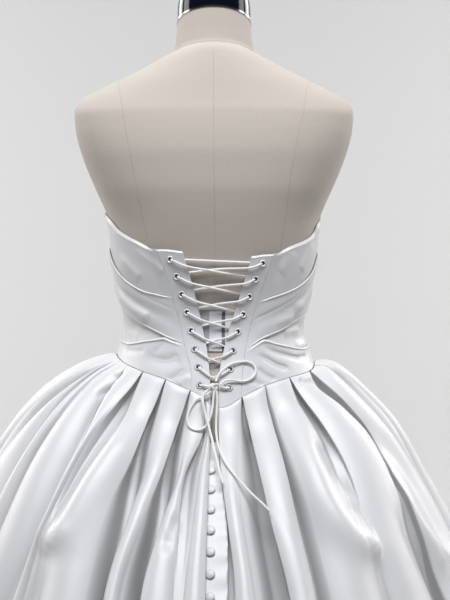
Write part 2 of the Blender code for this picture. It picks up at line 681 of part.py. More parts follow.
# ---------------------------------------------------------------- cords
def cord(name, points):
    """A round lace: a tube through the points."""
    curve = bpy.data.curves.new(name, "CURVE")
    curve.dimensions = "3D"
    curve.bevel_depth = LACE_RADIUS
    curve.bevel_resolution = 2
    curve.use_fill_caps = True
    spline = curve.splines.new("POLY")
    spline.points.add(len(points) - 1)
    for point, place in zip(spline.points, points):
        point.co = (*place, 1)
    made = bpy.data.objects.new(name, curve)
    curve.materials.append(make_material(name + "_finish", SATIN_CORD))
    GOWN.objects.link(made)
    return made


def eyelet_place(side, number):
    pair = EYELETS[number - 1]
    return Vector((getattr(pair, side + "_x"), getattr(pair, side + "_height")))


def lace_run(side, number, crossing_out):
    """Route of a lace from an eyelet across the gap to the next one below it."""
    other = "right" if side == "left" else "left"
    start, end = eyelet_place(side, number), eyelet_place(other, number + 1)
    way = (end - start).normalized()
    length = (end - start).length

    def at_distance(distance, out):
        place = start + way * distance
        return (place.x, place.y, out)

    def edge_distance(column):
        distance = length / 2
        for _ in range(6):
            height = (start + way * distance).y
            distance = (lacing_x(column, height) - start.x) / way.x
        return distance

    near, far = edge_distance(side + "_inner"), edge_distance(other + "_inner")
    route = [(start.x, start.y, LACE_THROUGH), at_distance(LACE_RISE, LACE_ON),
             at_distance(LACE_CREST, LACE_OVER)]
    if near > LONG_REACH:
        route.append(at_distance(near - 0.001, LACE_ON))
    else:
        route.append(at_distance(near + 0.0002, LACE_ON + 0.0002))
    route.append(at_distance(length / 2, crossing_out))
    route.append(at_distance(far + 0.0002, LACE_UNDER))
    if length - far > LONG_REACH:
        route.append(at_distance(length - LONG_REACH / 2, LACE_UNDER))
    route.append(at_distance(length - LACE_TURN, LACE_UNDER + 0.0004))
    return route


def make_lacing():
    """One lace through all the eyelets, from the knot and back to it."""
    def chain(side):
        route = []
        for number in range(1, 8):
            crossing = CROSSING_OVER if side == "left" else CROSSING_UNDER
            route += lace_run(side, number, crossing)
            side = "right" if side == "left" else "left"
        last = eyelet_place(side, 8)
        reach = KNOT_RADII[0] + LACE_RADIUS + 0.0006
        knot_x = KNOT.x + copysign(reach, last.x - KNOT.x)
        lean = copysign(1.0, KNOT.x - last.x)
        route += [(last.x, last.y, LACE_THROUGH),
                  (last.x + lean * LACE_RISE, last.y, LACE_ON),
                  (last.x + lean * LACE_CREST, last.y - 0.0004, LACE_OVER),
                  (knot_x, KNOT.height, LACE_OVER + 0.0008)]
        return route

    left, right = eyelet_place("left", 1), eyelet_place("right", 1)
    bar = [(left.x - LACE_TURN, left.y, LACE_UNDER + 0.0004)]
    bar += [(blend(left.x, right.x, share), blend(left.y, right.y, share), LACE_UNDER)
            for share in BAR_SHARES]
    bar += [(right.x + LACE_TURN, right.y, LACE_UNDER + 0.0004)]
    route = chain("left")[::-1] + bar + chain("right")
    cord("lacing_cord", [back_point(x, height, out) for x, height, out in route])


def cloth_point(x, height, lift):
    """A point lifted off the gown's back: the lacing panels or the skirt."""
    bodice = back_point(x, height, LACING_OUT + lift)
    row = skirt_row(x, height)
    if row is None:
        return bodice
    wrap = skirt_wrap(x, row)
    stands = lift + pleat_value(PANEL_BULGE, row)
    skirt = skirt_base(wrap, row) + skirt_normal(wrap, row) * stands
    return skirt if skirt.y > bodice.y else bodice


def make_bow():
    centre = back_point(KNOT.x, KNOT.height, LACING_OUT + KNOT.lift)
    bpy.ops.mesh.primitive_uv_sphere_add(segments=10, ring_count=6, radius=1,
                                         location=centre)
    knot = adopt(bpy.context.object, "bow_knot", SATIN_CORD)
    knot.scale = KNOT_RADII
    for face in knot.data.polygons:
        face.use_smooth = True
    for name, route in (("bow_loop_right", LOOP_RIGHT), ("bow_loop_left", LOOP_LEFT),
                        ("lace_end_long", END_LONG), ("lace_end_short", END_SHORT)):
        cord(name, [cloth_point(*place) for place in route])


# ---------------------------------------------------------------- the skirt
def ring_point(index, wrap):
    """A point of the skirt's smooth ring with no pleats; ring 0 is the waist seam."""
    if index == 0:
        height = edge_height(WAIST_SEAM, table_wrap(wrap)) - SEAM_GAP / 2
        return body_point(wrap, height, SKIRT_OUT)
    ring = SKIRT_RINGS[index - 1]
    turn = radians(wrap)
    across, deep = cos(turn), sin(turn)
    width = ring.left if across >= 0 else ring.right
    depth = ring.back if deep >= 0 else ring.front
    return Vector((width * power(across, 2 / ring.roundness),
                   depth * power(deep, 2 / ring.roundness),
                   blend(ring.side, ring.middle, deep * deep)))


def skirt_base(wrap, row):
    """A point of the skirt's smooth surface, at a place between its rings."""
    low = min(int(row), HEM_ROW - 1)
    before, here, there, after = (ring_point(min(max(low + step, 0), HEM_ROW), wrap)
                                  for step in (-1, 0, 1, 2))
    return smooth_value(before, here, there, after, row - low)


def skirt_normal(wrap, row):
    low, high = max(row - 0.1, 0.0), min(row + 0.1, float(HEM_ROW))
    across = skirt_base(wrap + 0.5, row) - skirt_base(wrap - 0.5, row)
    down = skirt_base(wrap, high) - skirt_base(wrap, low)
    normal = down.cross(across).normalized()
    normal.z *= min((HEM_ROW - row) / LEVEL_ROWS, 1.0)
    return normal.normalized()


def bisect(low, high, goes_on):
    for _ in range(40):
        middle = (low + high) / 2
        if goes_on(middle):
            low = middle
        else:
            high = middle
    return (low + high) / 2


def skirt_wrap(x, row):
    """The wrap on the back where the smooth skirt is this far from the middle."""
    return bisect(0.0, 180.0, lambda wrap: skirt_base(wrap, row).x > x)


def skirt_row(x, height):
    """The row on the back at this place and height, or None above the skirt."""
    if skirt_base(skirt_wrap(x, 0.0), 0.0).z <= height:
        return None
    return bisect(0.0, float(HEM_ROW),
                  lambda row: skirt_base(skirt_wrap(x, row), row).z > height)


def pleat_value(values, row):
    return along(PLEAT_ROWS, values, row)


def ring_profile(row, start, end, pleats):
    """Wraps and heights off the smooth ring from a start to an end.

    start and end are a wrap with the share of the panel's bulge there.
    """
    bulge = pleat_value(PANEL_BULGE, row)
    profile = [(start[0], bulge * start[1])]
    last = start
    for pleat in pleats:
        width = pleat_value(pleat.widths, row)
        depth = pleat_value(pleat.depths, row)
        left = pleat_value(pleat.wraps, row) - width / 2
        right = left + width
        shift = pleat.lean * width
        profile += panel_profile(last, (left, 0.0), bulge)
        profile += [(left, 0.0), (left + width * 0.3 + shift, -depth),
                    (right - width * 0.3 + shift, -depth), (right, 0.0)]
        last = (right, 0.0)
    profile += panel_profile(last, end, bulge)
    return profile + [(end[0], bulge * end[1])]


def panel_profile(start, end, bulge):
    """The bulging cloth between two hollows, or between a hollow and an edge."""
    points = []
    for share in (0.2, 0.5, 0.8):
        rise = 1 - (1 - start[1]) * (1 - share) ** 4 - (1 - end[1]) * share ** 4
        points.append((blend(start[0], end[0], share), bulge * rise))
    return points


def skirt_grid(start, end, pleats):
    """Outer points of a piece of the skirt, one row for each ring."""
    grid = []
    for row in range(HEM_ROW + 1):
        profile = ring_profile(float(row), start(row), end(row), pleats)
        grid.append([skirt_base(wrap, row) + skirt_normal(wrap, row) * height
                     for wrap, height in profile])
    return grid


def opening_x(column, row):
    return along_table(OPENING, "row", column, row)


def grid_normals(grid):
    """The outward direction at each point of an open grid."""
    rows, columns = len(grid), len(grid[0])
    normals = []
    for i in range(rows):
        line = []
        for j in range(columns):
            across = grid[i][min(j + 1, columns - 1)] - grid[i][max(j - 1, 0)]
            down = grid[min(i + 1, rows - 1)][j] - grid[max(i - 1, 0)][j]
            line.append(down.cross(across).normalized())
        normals.append(line)
    return normals


def make_skirt():
    """The pleated skirt in three pieces, parted at the sides and at centre back."""
    def side_seam(wrap, way):
        def place(row):
            gap = degrees(SEAM_GAP / 2 / abs(skirt_base(wrap, row).x))
            return (wrap + way * gap, 1.0)
        return place

    def opening_edge(column):
        def place(row):
            rise = 1.0 if row >= CLOSED_ROW else 0.0
            return (skirt_wrap(opening_x(column, row), float(row)), rise)
        return place

    pieces = (
        ("skirt_back_left", side_seam(0.0, 1), opening_edge("left_edge"), PLEATS[:5]),
        ("skirt_back_right", opening_edge("right_edge"), side_seam(180.0, -1),
         PLEATS[5:10]),
        ("skirt_front", side_seam(180.0, 1), side_seam(360.0, -1), PLEATS[10:]),
    )
    for name, start, end, pleats in pieces:
        outer = skirt_grid(start, end, pleats)
        normals = grid_normals(outer)
        inner = [[point - normal * SKIRT_CLOTH for point, normal in zip(*pair)]
                 for pair in zip(outer, normals)]
        wall(name, outer, inner, SATIN)


def make_placket():
    """The strip under the skirt's back opening, and its covered buttons."""
    grids = []
    for depth in (PLACKET_DEPTH, PLACKET_DEPTH + CLOTH):
        grid = []
        for i in range(PLACKET_STEPS + 1):
            row = blend(*PLACKET_ROWS, i / PLACKET_STEPS)
            edges = (PLACKET_LEFT_X, opening_x("strip_edge", row))
            wraps = [skirt_wrap(blend(*edges, share), row) for share in (0.0, 0.5, 1.0)]
            grid.append([skirt_base(wrap, row) - skirt_normal(wrap, row) * depth
                         for wrap in wraps])
        grids.append(grid)
    wall("button_placket", *grids, SATIN)
    row = skirt_row(BUTTON_X, FIRST_BUTTON_HEIGHT)
    for number in range(1, BUTTON_COUNT + 1):
        wrap = skirt_wrap(BUTTON_X, row)
        normal = skirt_normal(wrap, row)
        place = skirt_base(wrap, row) - normal * (PLACKET_DEPTH - SEAM_GAP)
        turn = normal.to_track_quat("Z", "Y").to_matrix().to_4x4()
        turned("button_%d" % number, BUTTON_PROFILE, 8, SATIN,
               Matrix.Translation(place) @ turn)
        row = row_below(row, BUTTON_PITCH)


def row_below(row, distance):
    """The row that lies this far down the middle of the skirt's back."""
    start = skirt_base(90.0, row)
    return bisect(row, min(row + 2.0, float(HEM_ROW)),
                  lambda lower: (skirt_base(90.0, lower) - start).length < distance)


clear_scene()
GOWN = make_collection("ball_gown_on_form")
CUTTERS = make_collection("cutters")
make_form()
make_bodice()
make_lacing()
make_bow()
make_skirt()
make_placket()
bpy.context.view_layer.update()
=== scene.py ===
"""Finished look of a strapless laced ball gown on a limbless dress form.

Metres, +Z up. The gown's back faces +Y and its wearer's left is +X. A wrap is the
angle in degrees round the figure: 0 at the wearer's left side, 90 at centre back,
180 at the right side and 270 at centre front. A row is a place down the skirt: 0 is
the waist seam and 9 the hem.
"""
from collections import namedtuple
from functools import lru_cache, partial
from math import acos, copysign, cos, degrees, exp, pi, radians, sin

import bmesh
import bpy
from bpy.props import FloatProperty, FloatVectorProperty, IntProperty, PointerProperty
from bpy.types import Operator, Panel, PropertyGroup
from mathutils import Matrix, Vector


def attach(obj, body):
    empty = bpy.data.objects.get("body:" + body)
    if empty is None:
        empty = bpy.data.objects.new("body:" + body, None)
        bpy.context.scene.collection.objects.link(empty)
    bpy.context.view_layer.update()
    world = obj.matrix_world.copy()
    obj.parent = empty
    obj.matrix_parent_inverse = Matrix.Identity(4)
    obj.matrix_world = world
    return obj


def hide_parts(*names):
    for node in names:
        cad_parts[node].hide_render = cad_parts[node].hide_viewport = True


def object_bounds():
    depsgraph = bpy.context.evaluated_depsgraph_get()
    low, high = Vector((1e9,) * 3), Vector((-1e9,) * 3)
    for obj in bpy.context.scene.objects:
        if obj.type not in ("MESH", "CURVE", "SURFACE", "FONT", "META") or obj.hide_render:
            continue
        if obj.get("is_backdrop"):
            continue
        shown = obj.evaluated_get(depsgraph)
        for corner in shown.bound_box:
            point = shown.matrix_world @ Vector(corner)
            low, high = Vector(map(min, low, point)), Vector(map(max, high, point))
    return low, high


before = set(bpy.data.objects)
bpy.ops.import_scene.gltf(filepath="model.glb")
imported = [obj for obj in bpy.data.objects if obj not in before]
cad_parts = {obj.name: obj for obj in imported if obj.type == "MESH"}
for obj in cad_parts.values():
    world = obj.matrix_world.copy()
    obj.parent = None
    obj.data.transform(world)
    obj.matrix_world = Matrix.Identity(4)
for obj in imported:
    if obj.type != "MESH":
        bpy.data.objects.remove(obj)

bl_info = {
    "name": "Ball gown on a dress form",
    "version": (1, 0, 0),
    "blender": (4, 5, 0),
    "location": "View3D > Sidebar > Gown",
    "description": "Makes the satin, lacing, fittings and form of a laced ball gown",
    "category": "Object",
}


def linear(hex_colour):
    """The linear colour of an sRGB hex value."""
    parts = [int(hex_colour[i:i + 2], 16) / 255 for i in (0, 2, 4)]
    return tuple(c / 12.92 if c <= 0.04045 else ((c + 0.055) / 1.055) ** 2.4
                 for c in parts)


# ---------------------------------------------------------------- what a user changes
def length_setting(name, description, default):
    return FloatProperty(name=name, description=description, default=default,
                         precision=5, unit="LENGTH", subtype="DISTANCE")


def colour_setting(name, description, hex_colour):
    return FloatVectorProperty(name=name, description=description, size=3,
                               default=linear(hex_colour), min=0, max=1, subtype="COLOR")


class GownSizes(PropertyGroup):
    """Sizes of the gown's cloth and fittings."""

    cloth: length_setting("Satin", "Thickness of the satin with its backing", 0.0013)
    lace_radius: length_setting("Lace radius", "Radius of the satin lace", 0.00145)
    eyelet_hole: length_setting("Eyelet hole", "Radius of an eyelet's hole", 0.0026)
    eyelet_rim: length_setting("Eyelet rim", "Outer radius of an eyelet", 0.0047)
    button_radius: length_setting("Button radius", "Radius of a covered button", 0.0063)
    button_height: length_setting("Button height", "Height of its dome", 0.0032)
    seam_thread: length_setting("Seam", "Radius of the ridge of a seam on the form", 0.00026)
    buttons: IntProperty(name="Buttons", description="Buttons on the placket",
                         default=13, min=1, max=30)


class GownColours(PropertyGroup):
    """Colours of the gown, the form and the stage."""

    satin: colour_setting("Satin", "Heavy duchess satin", "E8E8E9")
    lace: colour_setting("Lace", "Satin cord", "FBFBFA")
    linen: colour_setting("Linen", "Natural linen of the form", "C6BDB4")
    seam: colour_setting("Form seam", "Thread and shadow of the form's seams", "BCB3AA")
    lacquer: colour_setting("Cap", "Navy lacquer of the neck cap", "0B1020")
    silver: colour_setting("Trim", "Polished trim under the cap", "D8D8D8")
    enamel: colour_setting("Eyelet", "White enamelled brass", "F0F0F2")
    ribbon: colour_setting("Ribbon", "White grosgrain of the waist stay", "F6F6F8")
    # Painted shade: the grey of the waist stay's left part.
    tape: colour_setting("Tape", "Grey tape of the waist stay", "C2C2C8")
    hooks: colour_setting("Hook tape", "Dark tape under the hooks", "7C7C82")
    steel: colour_setting("Stand", "Dark painted steel", "2A2A2C")
    stage: colour_setting("Backdrop", "Pale paper behind the gown", "DADADA")
    floor: colour_setting("Floor", "Pale grey paper on the floor", "C8C8C8")


# ---------------------------------------------------------------- tables
Section = namedtuple("Section", "height half_width back front roundness tilt")

# The form's sections up to the shoulder tips.
BODY_SECTIONS = (
    Section(0.800, 0.1460, 0.112, 0.100, 2.20, 0.0),
    Section(0.900, 0.1600, 0.122, 0.108, 2.20, 0.0),
    Section(0.980, 0.1520, 0.117, 0.104, 2.20, 0.0),
    Section(1.040, 0.1335, 0.099, 0.094, 2.20, 0.0),
    Section(1.0785, 0.1185, 0.0855, 0.0885, 2.20, 0.0),
    Section(1.110, 0.1106, 0.0775, 0.0875, 2.20, 0.0),
    Section(1.140, 0.1141, 0.0774, 0.0915, 2.20, 0.0),
    Section(1.180, 0.1218, 0.0835, 0.1015, 2.25, 0.0),
    Section(1.220, 0.1290, 0.0915, 0.1100, 2.30, 0.0),
    Section(1.248, 0.1340, 0.0970, 0.1115, 2.35, 0.0),
    Section(1.264, 0.1400, 0.1000, 0.1110, 2.35, 0.0),
    Section(1.297, 0.1550, 0.1040, 0.1080, 2.40, 0.0),
    Section(1.331, 0.1690, 0.1040, 0.1000, 2.40, 0.0),
    Section(1.362, 0.1780, 0.1000, 0.0900, 2.40, 0.0),
    Section(1.387, 0.1810, 0.0940, 0.0800, 2.40, 0.0),
)

# From the shoulder tips up the slope to the neck, each tilted back a little more.
SHOULDER_SECTIONS = (
    Section(1.4000, 0.1785, 0.0890, 0.0740, 2.30, 0.00),
    Section(1.4095, 0.1715, 0.0855, 0.0710, 2.20, 0.00),
    Section(1.4163, 0.1600, 0.0830, 0.0690, 2.20, 0.00),
    Section(1.4278, 0.1350, 0.0780, 0.0660, 2.20, 0.04),
    Section(1.4392, 0.1100, 0.0730, 0.0630, 2.10, 0.08),
    Section(1.4507, 0.0850, 0.0670, 0.0600, 2.10, 0.14),
    Section(1.4594, 0.0660, 0.0610, 0.0580, 2.00, 0.20),
    Section(1.4655, 0.0527, 0.0500, 0.0550, 2.00, 0.29),
    Section(1.4780, 0.0505, 0.0470, 0.0500, 2.00, 0.32),
    Section(1.4940, 0.0487, 0.0455, 0.0480, 2.00, 0.35),
    Section(1.5075, 0.0476, 0.0445, 0.0470, 2.00, 0.38),
)

NECK_SEAM = SHOULDER_SECTIONS[7]
NECK_SEAM_OUT = 0.0002
BODY_RINGS, BODY_COLUMNS, CAP_COLUMNS = 98, 160, 96   # of the fine mesh

CAP_SECTIONS = (
    Section(1.5079, 0.0477, 0.0446, 0.0471, 2.00, 0.38),
    Section(1.5250, 0.0477, 0.0446, 0.0471, 2.00, 0.36),
    Section(1.5360, 0.0462, 0.0432, 0.0456, 2.00, 0.34),
    Section(1.5430, 0.0410, 0.0385, 0.0405, 2.00, 0.32),
    Section(1.5475, 0.0300, 0.0280, 0.0295, 2.00, 0.30),
    Section(1.5495, 0.0150, 0.0140, 0.0145, 2.00, 0.28),
)

# The trim's four edges: height from the cap's foot, and distance out from the neck.
TRIM_EDGES = ((-0.0006, 0.0), (-0.0006, 0.0009), (0.0016, 0.0009), (0.0016, 0.0))

BUST_OUT = 0.026           # how far the bust stands out
BUST_X = 0.072
BUST_HEIGHT = 1.225
BUST_SPREAD_X = 0.048
BUST_SPREAD_Z = 0.055

Edge = namedtuple("Edge", "wrap height")

TOP_EDGE = tuple(Edge(*row) for row in (
    (-90, 1.262), (-70, 1.275), (-45, 1.287), (-20, 1.272), (0, 1.2625), (8, 1.2585),
    (17, 1.2515), (26, 1.2410), (35, 1.2330), (46, 1.2240), (57, 1.2145), (68, 1.2133),
    (75, 1.2112), (90, 1.208), (108, 1.205), (114, 1.2068), (125, 1.209),
    (135, 1.2176), (152, 1.2276), (163, 1.2371), (168, 1.2470), (180, 1.2555),
    (200, 1.269), (225, 1.284), (250, 1.274), (270, 1.262),
))

WAIST_SEAM = tuple(Edge(*row) for row in (
    (-90, 1.012), (-60, 1.048), (-30, 1.070), (0, 1.081), (11, 1.0786), (33, 1.0687),
    (50, 1.0603), (67, 1.0503), (80, 1.0375), (86, 1.0300), (90, 1.0180),
    (94, 1.0174), (102, 1.0290), (106, 1.0343), (115, 1.0433), (132, 1.0525),
    (158, 1.0607), (180, 1.0699), (210, 1.063), (240, 1.045), (270, 1.012),
))

BAND_TOP = tuple(Edge(*row) for row in (
    (-90, 1.186), (-45, 1.205), (0, 1.2185), (5, 1.2147), (14, 1.1975), (29, 1.178),
    (46, 1.1626), (57, 1.1576), (67, 1.1535), (90, 1.146), (115, 1.1481),
    (124, 1.1538), (137, 1.1614), (151, 1.1721), (165, 1.1878), (174, 1.2056),
    (180, 1.2120), (225, 1.202), (270, 1.186),
))

BAND_BOTTOM = tuple(Edge(*row) for row in (
    (-90, 1.108), (-45, 1.132), (0, 1.150), (11, 1.1435), (33, 1.1258), (51, 1.1121),
    (66, 1.1001), (75, 1.0942), (90, 1.083), (107, 1.0882), (118, 1.1001),
    (136, 1.112), (150, 1.1226), (165, 1.1305), (180, 1.136), (225, 1.126),
    (270, 1.108),
))

BASQUE_TOP = tuple(Edge(*row) for row in (
    (-90, 1.083), (-45, 1.094), (0, 1.0990), (16, 1.0973), (31, 1.0952), (44, 1.0983),
    (54, 1.1010), (62, 1.1030), (68, 1.1010), (75, 1.0950), (90, 1.081), (107, 1.0890),
    (118, 1.1002), (129, 1.0958), (145, 1.0903), (156, 1.0886), (168, 1.0908),
    (180, 1.0930), (225, 1.092), (270, 1.083),
))

# Where the lacing panels lie: distances from centre back, by height.
Lacing = namedtuple("Lacing", "height left_outer left_inner right_inner right_outer")
LACING_EDGES = (
    Lacing(1.010, 0.0290, 0.0036, 0.0056, 0.0340),
    Lacing(1.030, 0.0290, 0.0038, 0.0063, 0.0343),
    Lacing(1.060, 0.0280, 0.0050, 0.0075, 0.0362),
    Lacing(1.090, 0.0358, 0.0087, 0.0135, 0.0406),
    Lacing(1.120, 0.0420, 0.0150, 0.0219, 0.0471),
    Lacing(1.150, 0.0505, 0.0217, 0.0314, 0.0558),
    Lacing(1.180, 0.0591, 0.0299, 0.0408, 0.0661),
    Lacing(1.215, 0.0729, 0.0404, 0.0507, 0.0785),
)

# The eyelets from the top down: distance from centre back, and height.
EYELETS = {
    "left": ((0.0543, 1.2010), (0.0460, 1.1796), (0.0399, 1.1571), (0.0333, 1.1344),
             (0.0282, 1.1116), (0.0234, 1.0886), (0.0190, 1.0663), (0.0168, 1.0441)),
    "right": ((-0.0614, 1.1960), (-0.0523, 1.1761), (-0.0447, 1.1541), (-0.0370, 1.1319),
              (-0.0302, 1.1099), (-0.0241, 1.0867), (-0.0207, 1.0637), (-0.0195, 1.0410)),
}
EYELET_PAIRS = len(EYELETS["left"])
OTHER = {"left": "right", "right": "left"}

# The skirt's rings below the waist seam, from the seam's dome to the hem.
Ring = namedtuple("Ring", "side middle left right back front roundness")
SKIRT_RINGS = (
    Ring(1.066, 0.985, 0.170, 0.156, 0.132, 0.135, 2.10),
    Ring(1.036, 0.940, 0.2145, 0.190, 0.175, 0.178, 2.05),
    Ring(0.990, 0.885, 0.255, 0.231, 0.222, 0.225, 2.00),
    Ring(0.930, 0.820, 0.291, 0.264, 0.268, 0.270, 2.00),
    Ring(0.850, 0.740, 0.328, 0.307, 0.318, 0.320, 2.00),
    Ring(0.730, 0.630, 0.383, 0.367, 0.378, 0.380, 2.00),
    Ring(0.560, 0.490, 0.457, 0.446, 0.455, 0.455, 2.00),
    Ring(0.310, 0.290, 0.570, 0.565, 0.567, 0.567, 2.00),
    Ring(0.012, 0.012, 0.690, 0.690, 0.690, 0.690, 2.00),
)
HEM_ROW = len(SKIRT_RINGS)

# Each fold of the skirt, a hollow between two panels: the wraps of its lips at seven
# rows, its depth there, how far its floor leans under the panel on top, as a share of
# its width, and how far its left lip, or with a minus its right lip, has sunk, if one has.
FOLD_ROWS = (0.0, 0.5, 1.0, 2.0, 3.0, 4.5, 9.0)
Fold = namedtuple("Fold", "left right depth lean drop",
                  defaults=((0,) * len(FOLD_ROWS),))
BACK_LEFT_FOLDS = (
    Fold((15.2, 13.6, 12.9, 9.4, 5.0, 3.5, 13.0), (16.8, 20.2, 20.9, 19.4, 15.5, 9.0, 19.0),
         (.002, .011, .014, .018, .016, .006, .046), (.5, .4, .3, .2, .2, .2, .3)),
    Fold((20.8, 21.8, 22.6, 24.2, 24.9, 24.2, 22.0), (21.0, 22.4, 23.4, 25.4, 26.1, 25.1, 22.8),
         (0, 0, .001, .003, .004, .003, 0), (.5, .5, .5, .5, .5, .5, .5),
         (0, 0, .001, .004, .005, .004, 0)),
    Fold((24.5, 25.5, 26.5, 29.4, 30.0, 30.6, 28.0), (24.9, 26.1, 27.2, 30.4, 31.1, 31.7, 28.8),
         (0, 0, 0, .001, .003, .003, 0), (.5, .5, .5, .5, .5, .5, .5),
         (0, 0, 0, .002, .004, .005, 0)),
    Fold((34.0, 35.6, 37.0, 42.0, 42.9, 42.4, 35.0), (34.6, 37.4, 38.9, 44.2, 44.9, 44.6, 41.0),
         (.002, .010, .012, .008, .006, .006, .040), (.6, .6, .6, .6, .6, .6, .4),
         (0, .002, .004, .008, .009, .009, .004)),
    Fold((50.2, 48.7, 46.9, 46.8, 46.6, 46.4, 52.3), (50.9, 51.6, 53.0, 54.0, 51.5, 50.5, 57.8),
         (.002, .010, .013, .011, .007, .002, .042), (-.4, -.4, -.2, 0, 0, 0, .2)),
    Fold((66.4, 64.5, 63.0, 63.9, 61.8, 60.8, 65.2), (66.9, 66.4, 66.6, 69.0, 67.5, 65.7, 70.8),
         (.002, .010, .015, .021, .026, .030, .048), (-.6, -.6, -.6, -.4, .2, .5, .3)),
    Fold((80.0, 77.8, 75.6, 74.4, 71.8, 69.4, 77.0), (80.5, 79.6, 79.0, 79.6, 76.5, 74.0, 82.0),
         (.002, .010, .016, .022, .028, .032, .044), (-.6, -.6, -.6, -.4, .2, .5, .3)),
    Fold((86.6, 86.5, 86.2, 81.7, 81.0, 81.5, 85.0), (87.0, 87.0, 87.6, 85.8, 84.6, 83.5, 86.0),
         (0, 0, .005, .010, .003, 0, 0), (-.6, -.6, -.6, -.4, -.2, 0, 0)),
)
BACK_RIGHT_FOLDS = (
    Fold((101.8, 101.4, 100.8, 98.8, 99.0, 100.5, 96.0),
         (102.2, 103.7, 105.4, 106.1, 106.8, 108.6, 102.3),
         (.002, .012, .018, .022, .028, .032, .046), (.6, .6, .6, .6, .5, .45, .3)),
    Fold((114.9, 115.6, 116.7, 115.9, 114.9, 115.1, 110.2),
         (115.5, 117.6, 119.6, 119.6, 119.4, 119.5, 116.0),
         (.002, .008, .010, .012, .016, .018, .046), (-.8, -.8, -.8, -.7, -.5, -.4, -.3)),
    Fold((131.6, 131.6, 131.2, 131.0, 130.4, 131.6, 126.0),
         (132.4, 133.9, 135.2, 136.3, 136.0, 134.4, 132.0),
         (.002, .010, .014, .012, .005, .001, .046), (.5, .6, .6, .5, .2, 0, -.3)),
    Fold((154.1, 148.4, 145.8, 150.5, 152.8, 145.6, 144.0),
         (155.9, 152.4, 151.2, 153.6, 154.2, 150.2, 150.0),
         (.002, .010, .014, .014, .008, .014, .050), (.3, .3, .2, .2, .4, .5, -.2)),
    Fold((168.0, 168.0, 164.3, 164.7, 166.0, 172.0, 162.0),
         (169.0, 172.0, 172.0, 175.8, 175.8, 175.5, 168.0),
         (.002, .008, .014, .018, .014, .005, .044), (-.2, -.2, -.2, -.2, -.2, 0, -.3)),
)

# The front's ten folds, plain and even: a wrap at the seam, row 2, row 4.5 and the hem.
FrontFold = namedtuple("FrontFold", "wraps depth lean")
FRONT_FOLDS = (
    FrontFold((196.0, 195.0, 194.0, 187.0), 0.95, 0.4),
    FrontFold((214.0, 212.0, 210.0, 205.0), 1.05, 0.4),
    FrontFold((231.0, 229.0, 227.0, 224.0), 1.00, 0.4),
    FrontFold((247.0, 246.0, 245.0, 242.0), 0.90, 0.4),
    FrontFold((261.0, 261.5, 261.0, 260.5), 1.10, 0.4),
    FrontFold((279.0, 278.5, 279.0, 279.5), 1.05, -0.4),
    FrontFold((293.0, 294.0, 295.0, 298.0), 0.95, -0.4),
    FrontFold((309.0, 311.0, 313.0, 316.0), 1.10, -0.4),
    FrontFold((326.0, 328.0, 330.0, 335.0), 0.90, -0.4),
    FrontFold((344.0, 345.0, 346.0, 353.0), 1.00, -0.4),
)
FRONT_ROWS = (0.0, 2.0, 4.5, 9.0)
FRONT_WIDTHS = (1.6, 2.8, 3.5, 6.0)
FRONT_DEPTHS = (0.002, 0.016, 0.029, 0.049)
BULGE_ROWS = (0.0, 0.2, 1.0, 2.0, 4.5, 9.0)
PANEL_BULGE = (0.0, 0.0025, 0.004, 0.006, 0.010, 0.018)   # of the cloth between hollows
# How far a lace that lies on the pleats is off the smooth skirt, by FRONT_ROWS.
PLEATS_STAND = (0.0, 0.004, 0.010, 0.018)

# The skirt's centre back opening: the edges' distances from the middle, by row.
Opening = namedtuple("Opening", "row left_edge right_edge strip_edge")
OPENING = (
    Opening(0.0, 0.0031, -0.0060, -0.0050),
    Opening(1.0, 0.0038, -0.0066, -0.0058),
    Opening(2.0, 0.0052, -0.0100, -0.0096),
    Opening(3.0, 0.0068, -0.0175, -0.0165),
    Opening(4.0, 0.0084, -0.0256, -0.0172),
    Opening(5.0, 0.0080, -0.0250, -0.0160),
    Opening(6.0, 0.0070, -0.0130, -0.0150),
    Opening(7.0, 0.0002, -0.0002, -0.0150),
    Opening(float(HEM_ROW), 0.0002, -0.0002, -0.0150),
)

# Routes of the bow's cords: distance from centre back, height, lift off the cloth.
Route = namedtuple("Route", "x height lift")
KNOT = Route(-0.0015, 1.0425, 0.0062)
KNOT_SIZE = (0.0017, 0.0015)
KNOT_REACH = 0.0058        # from the knot's middle to the side of a lace beside it
LOOP_RIGHT = (
    (-0.0030, 1.0492, 0.0075), (-0.0062, 1.0570, 0.0060), (-0.0120, 1.0635, 0.0052),
    (-0.0190, 1.0688, 0.0044), (-0.0262, 1.0716, 0.0036), (-0.0340, 1.0728, 0.0026),
    (-0.0420, 1.0728, 0.0022), (-0.0490, 1.0695, 0.0022), (-0.0525, 1.0630, 0.0022),
    (-0.0505, 1.0556, 0.0022), (-0.0440, 1.0506, 0.0022), (-0.0365, 1.0488, 0.0024),
    (-0.0290, 1.0496, 0.0030), (-0.0210, 1.0506, 0.0042), (-0.0140, 1.0494, 0.0052),
    (-0.0084, 1.0452, 0.0066),
)
LOOP_LEFT = (
    (0.0030, 1.0366, 0.0070), (0.0072, 1.0330, 0.0066), (0.0128, 1.0298, 0.0050),
    (0.0190, 1.0262, 0.0046), (0.0252, 1.0196, 0.0034), (0.0300, 1.0106, 0.0026),
    (0.0318, 1.0020, 0.0024), (0.0300, 0.9935, 0.0024), (0.0248, 0.9888, 0.0024),
    (0.0182, 0.9880, 0.0024), (0.0120, 0.9904, 0.0026), (0.0072, 0.9956, 0.0040),
    (0.0038, 1.0030, 0.0060), (0.0018, 1.0120, 0.0068), (0.0008, 1.0210, 0.0070),
    (0.0000, 1.0300, 0.0070), (-0.0008, 1.0368, 0.0070),
)
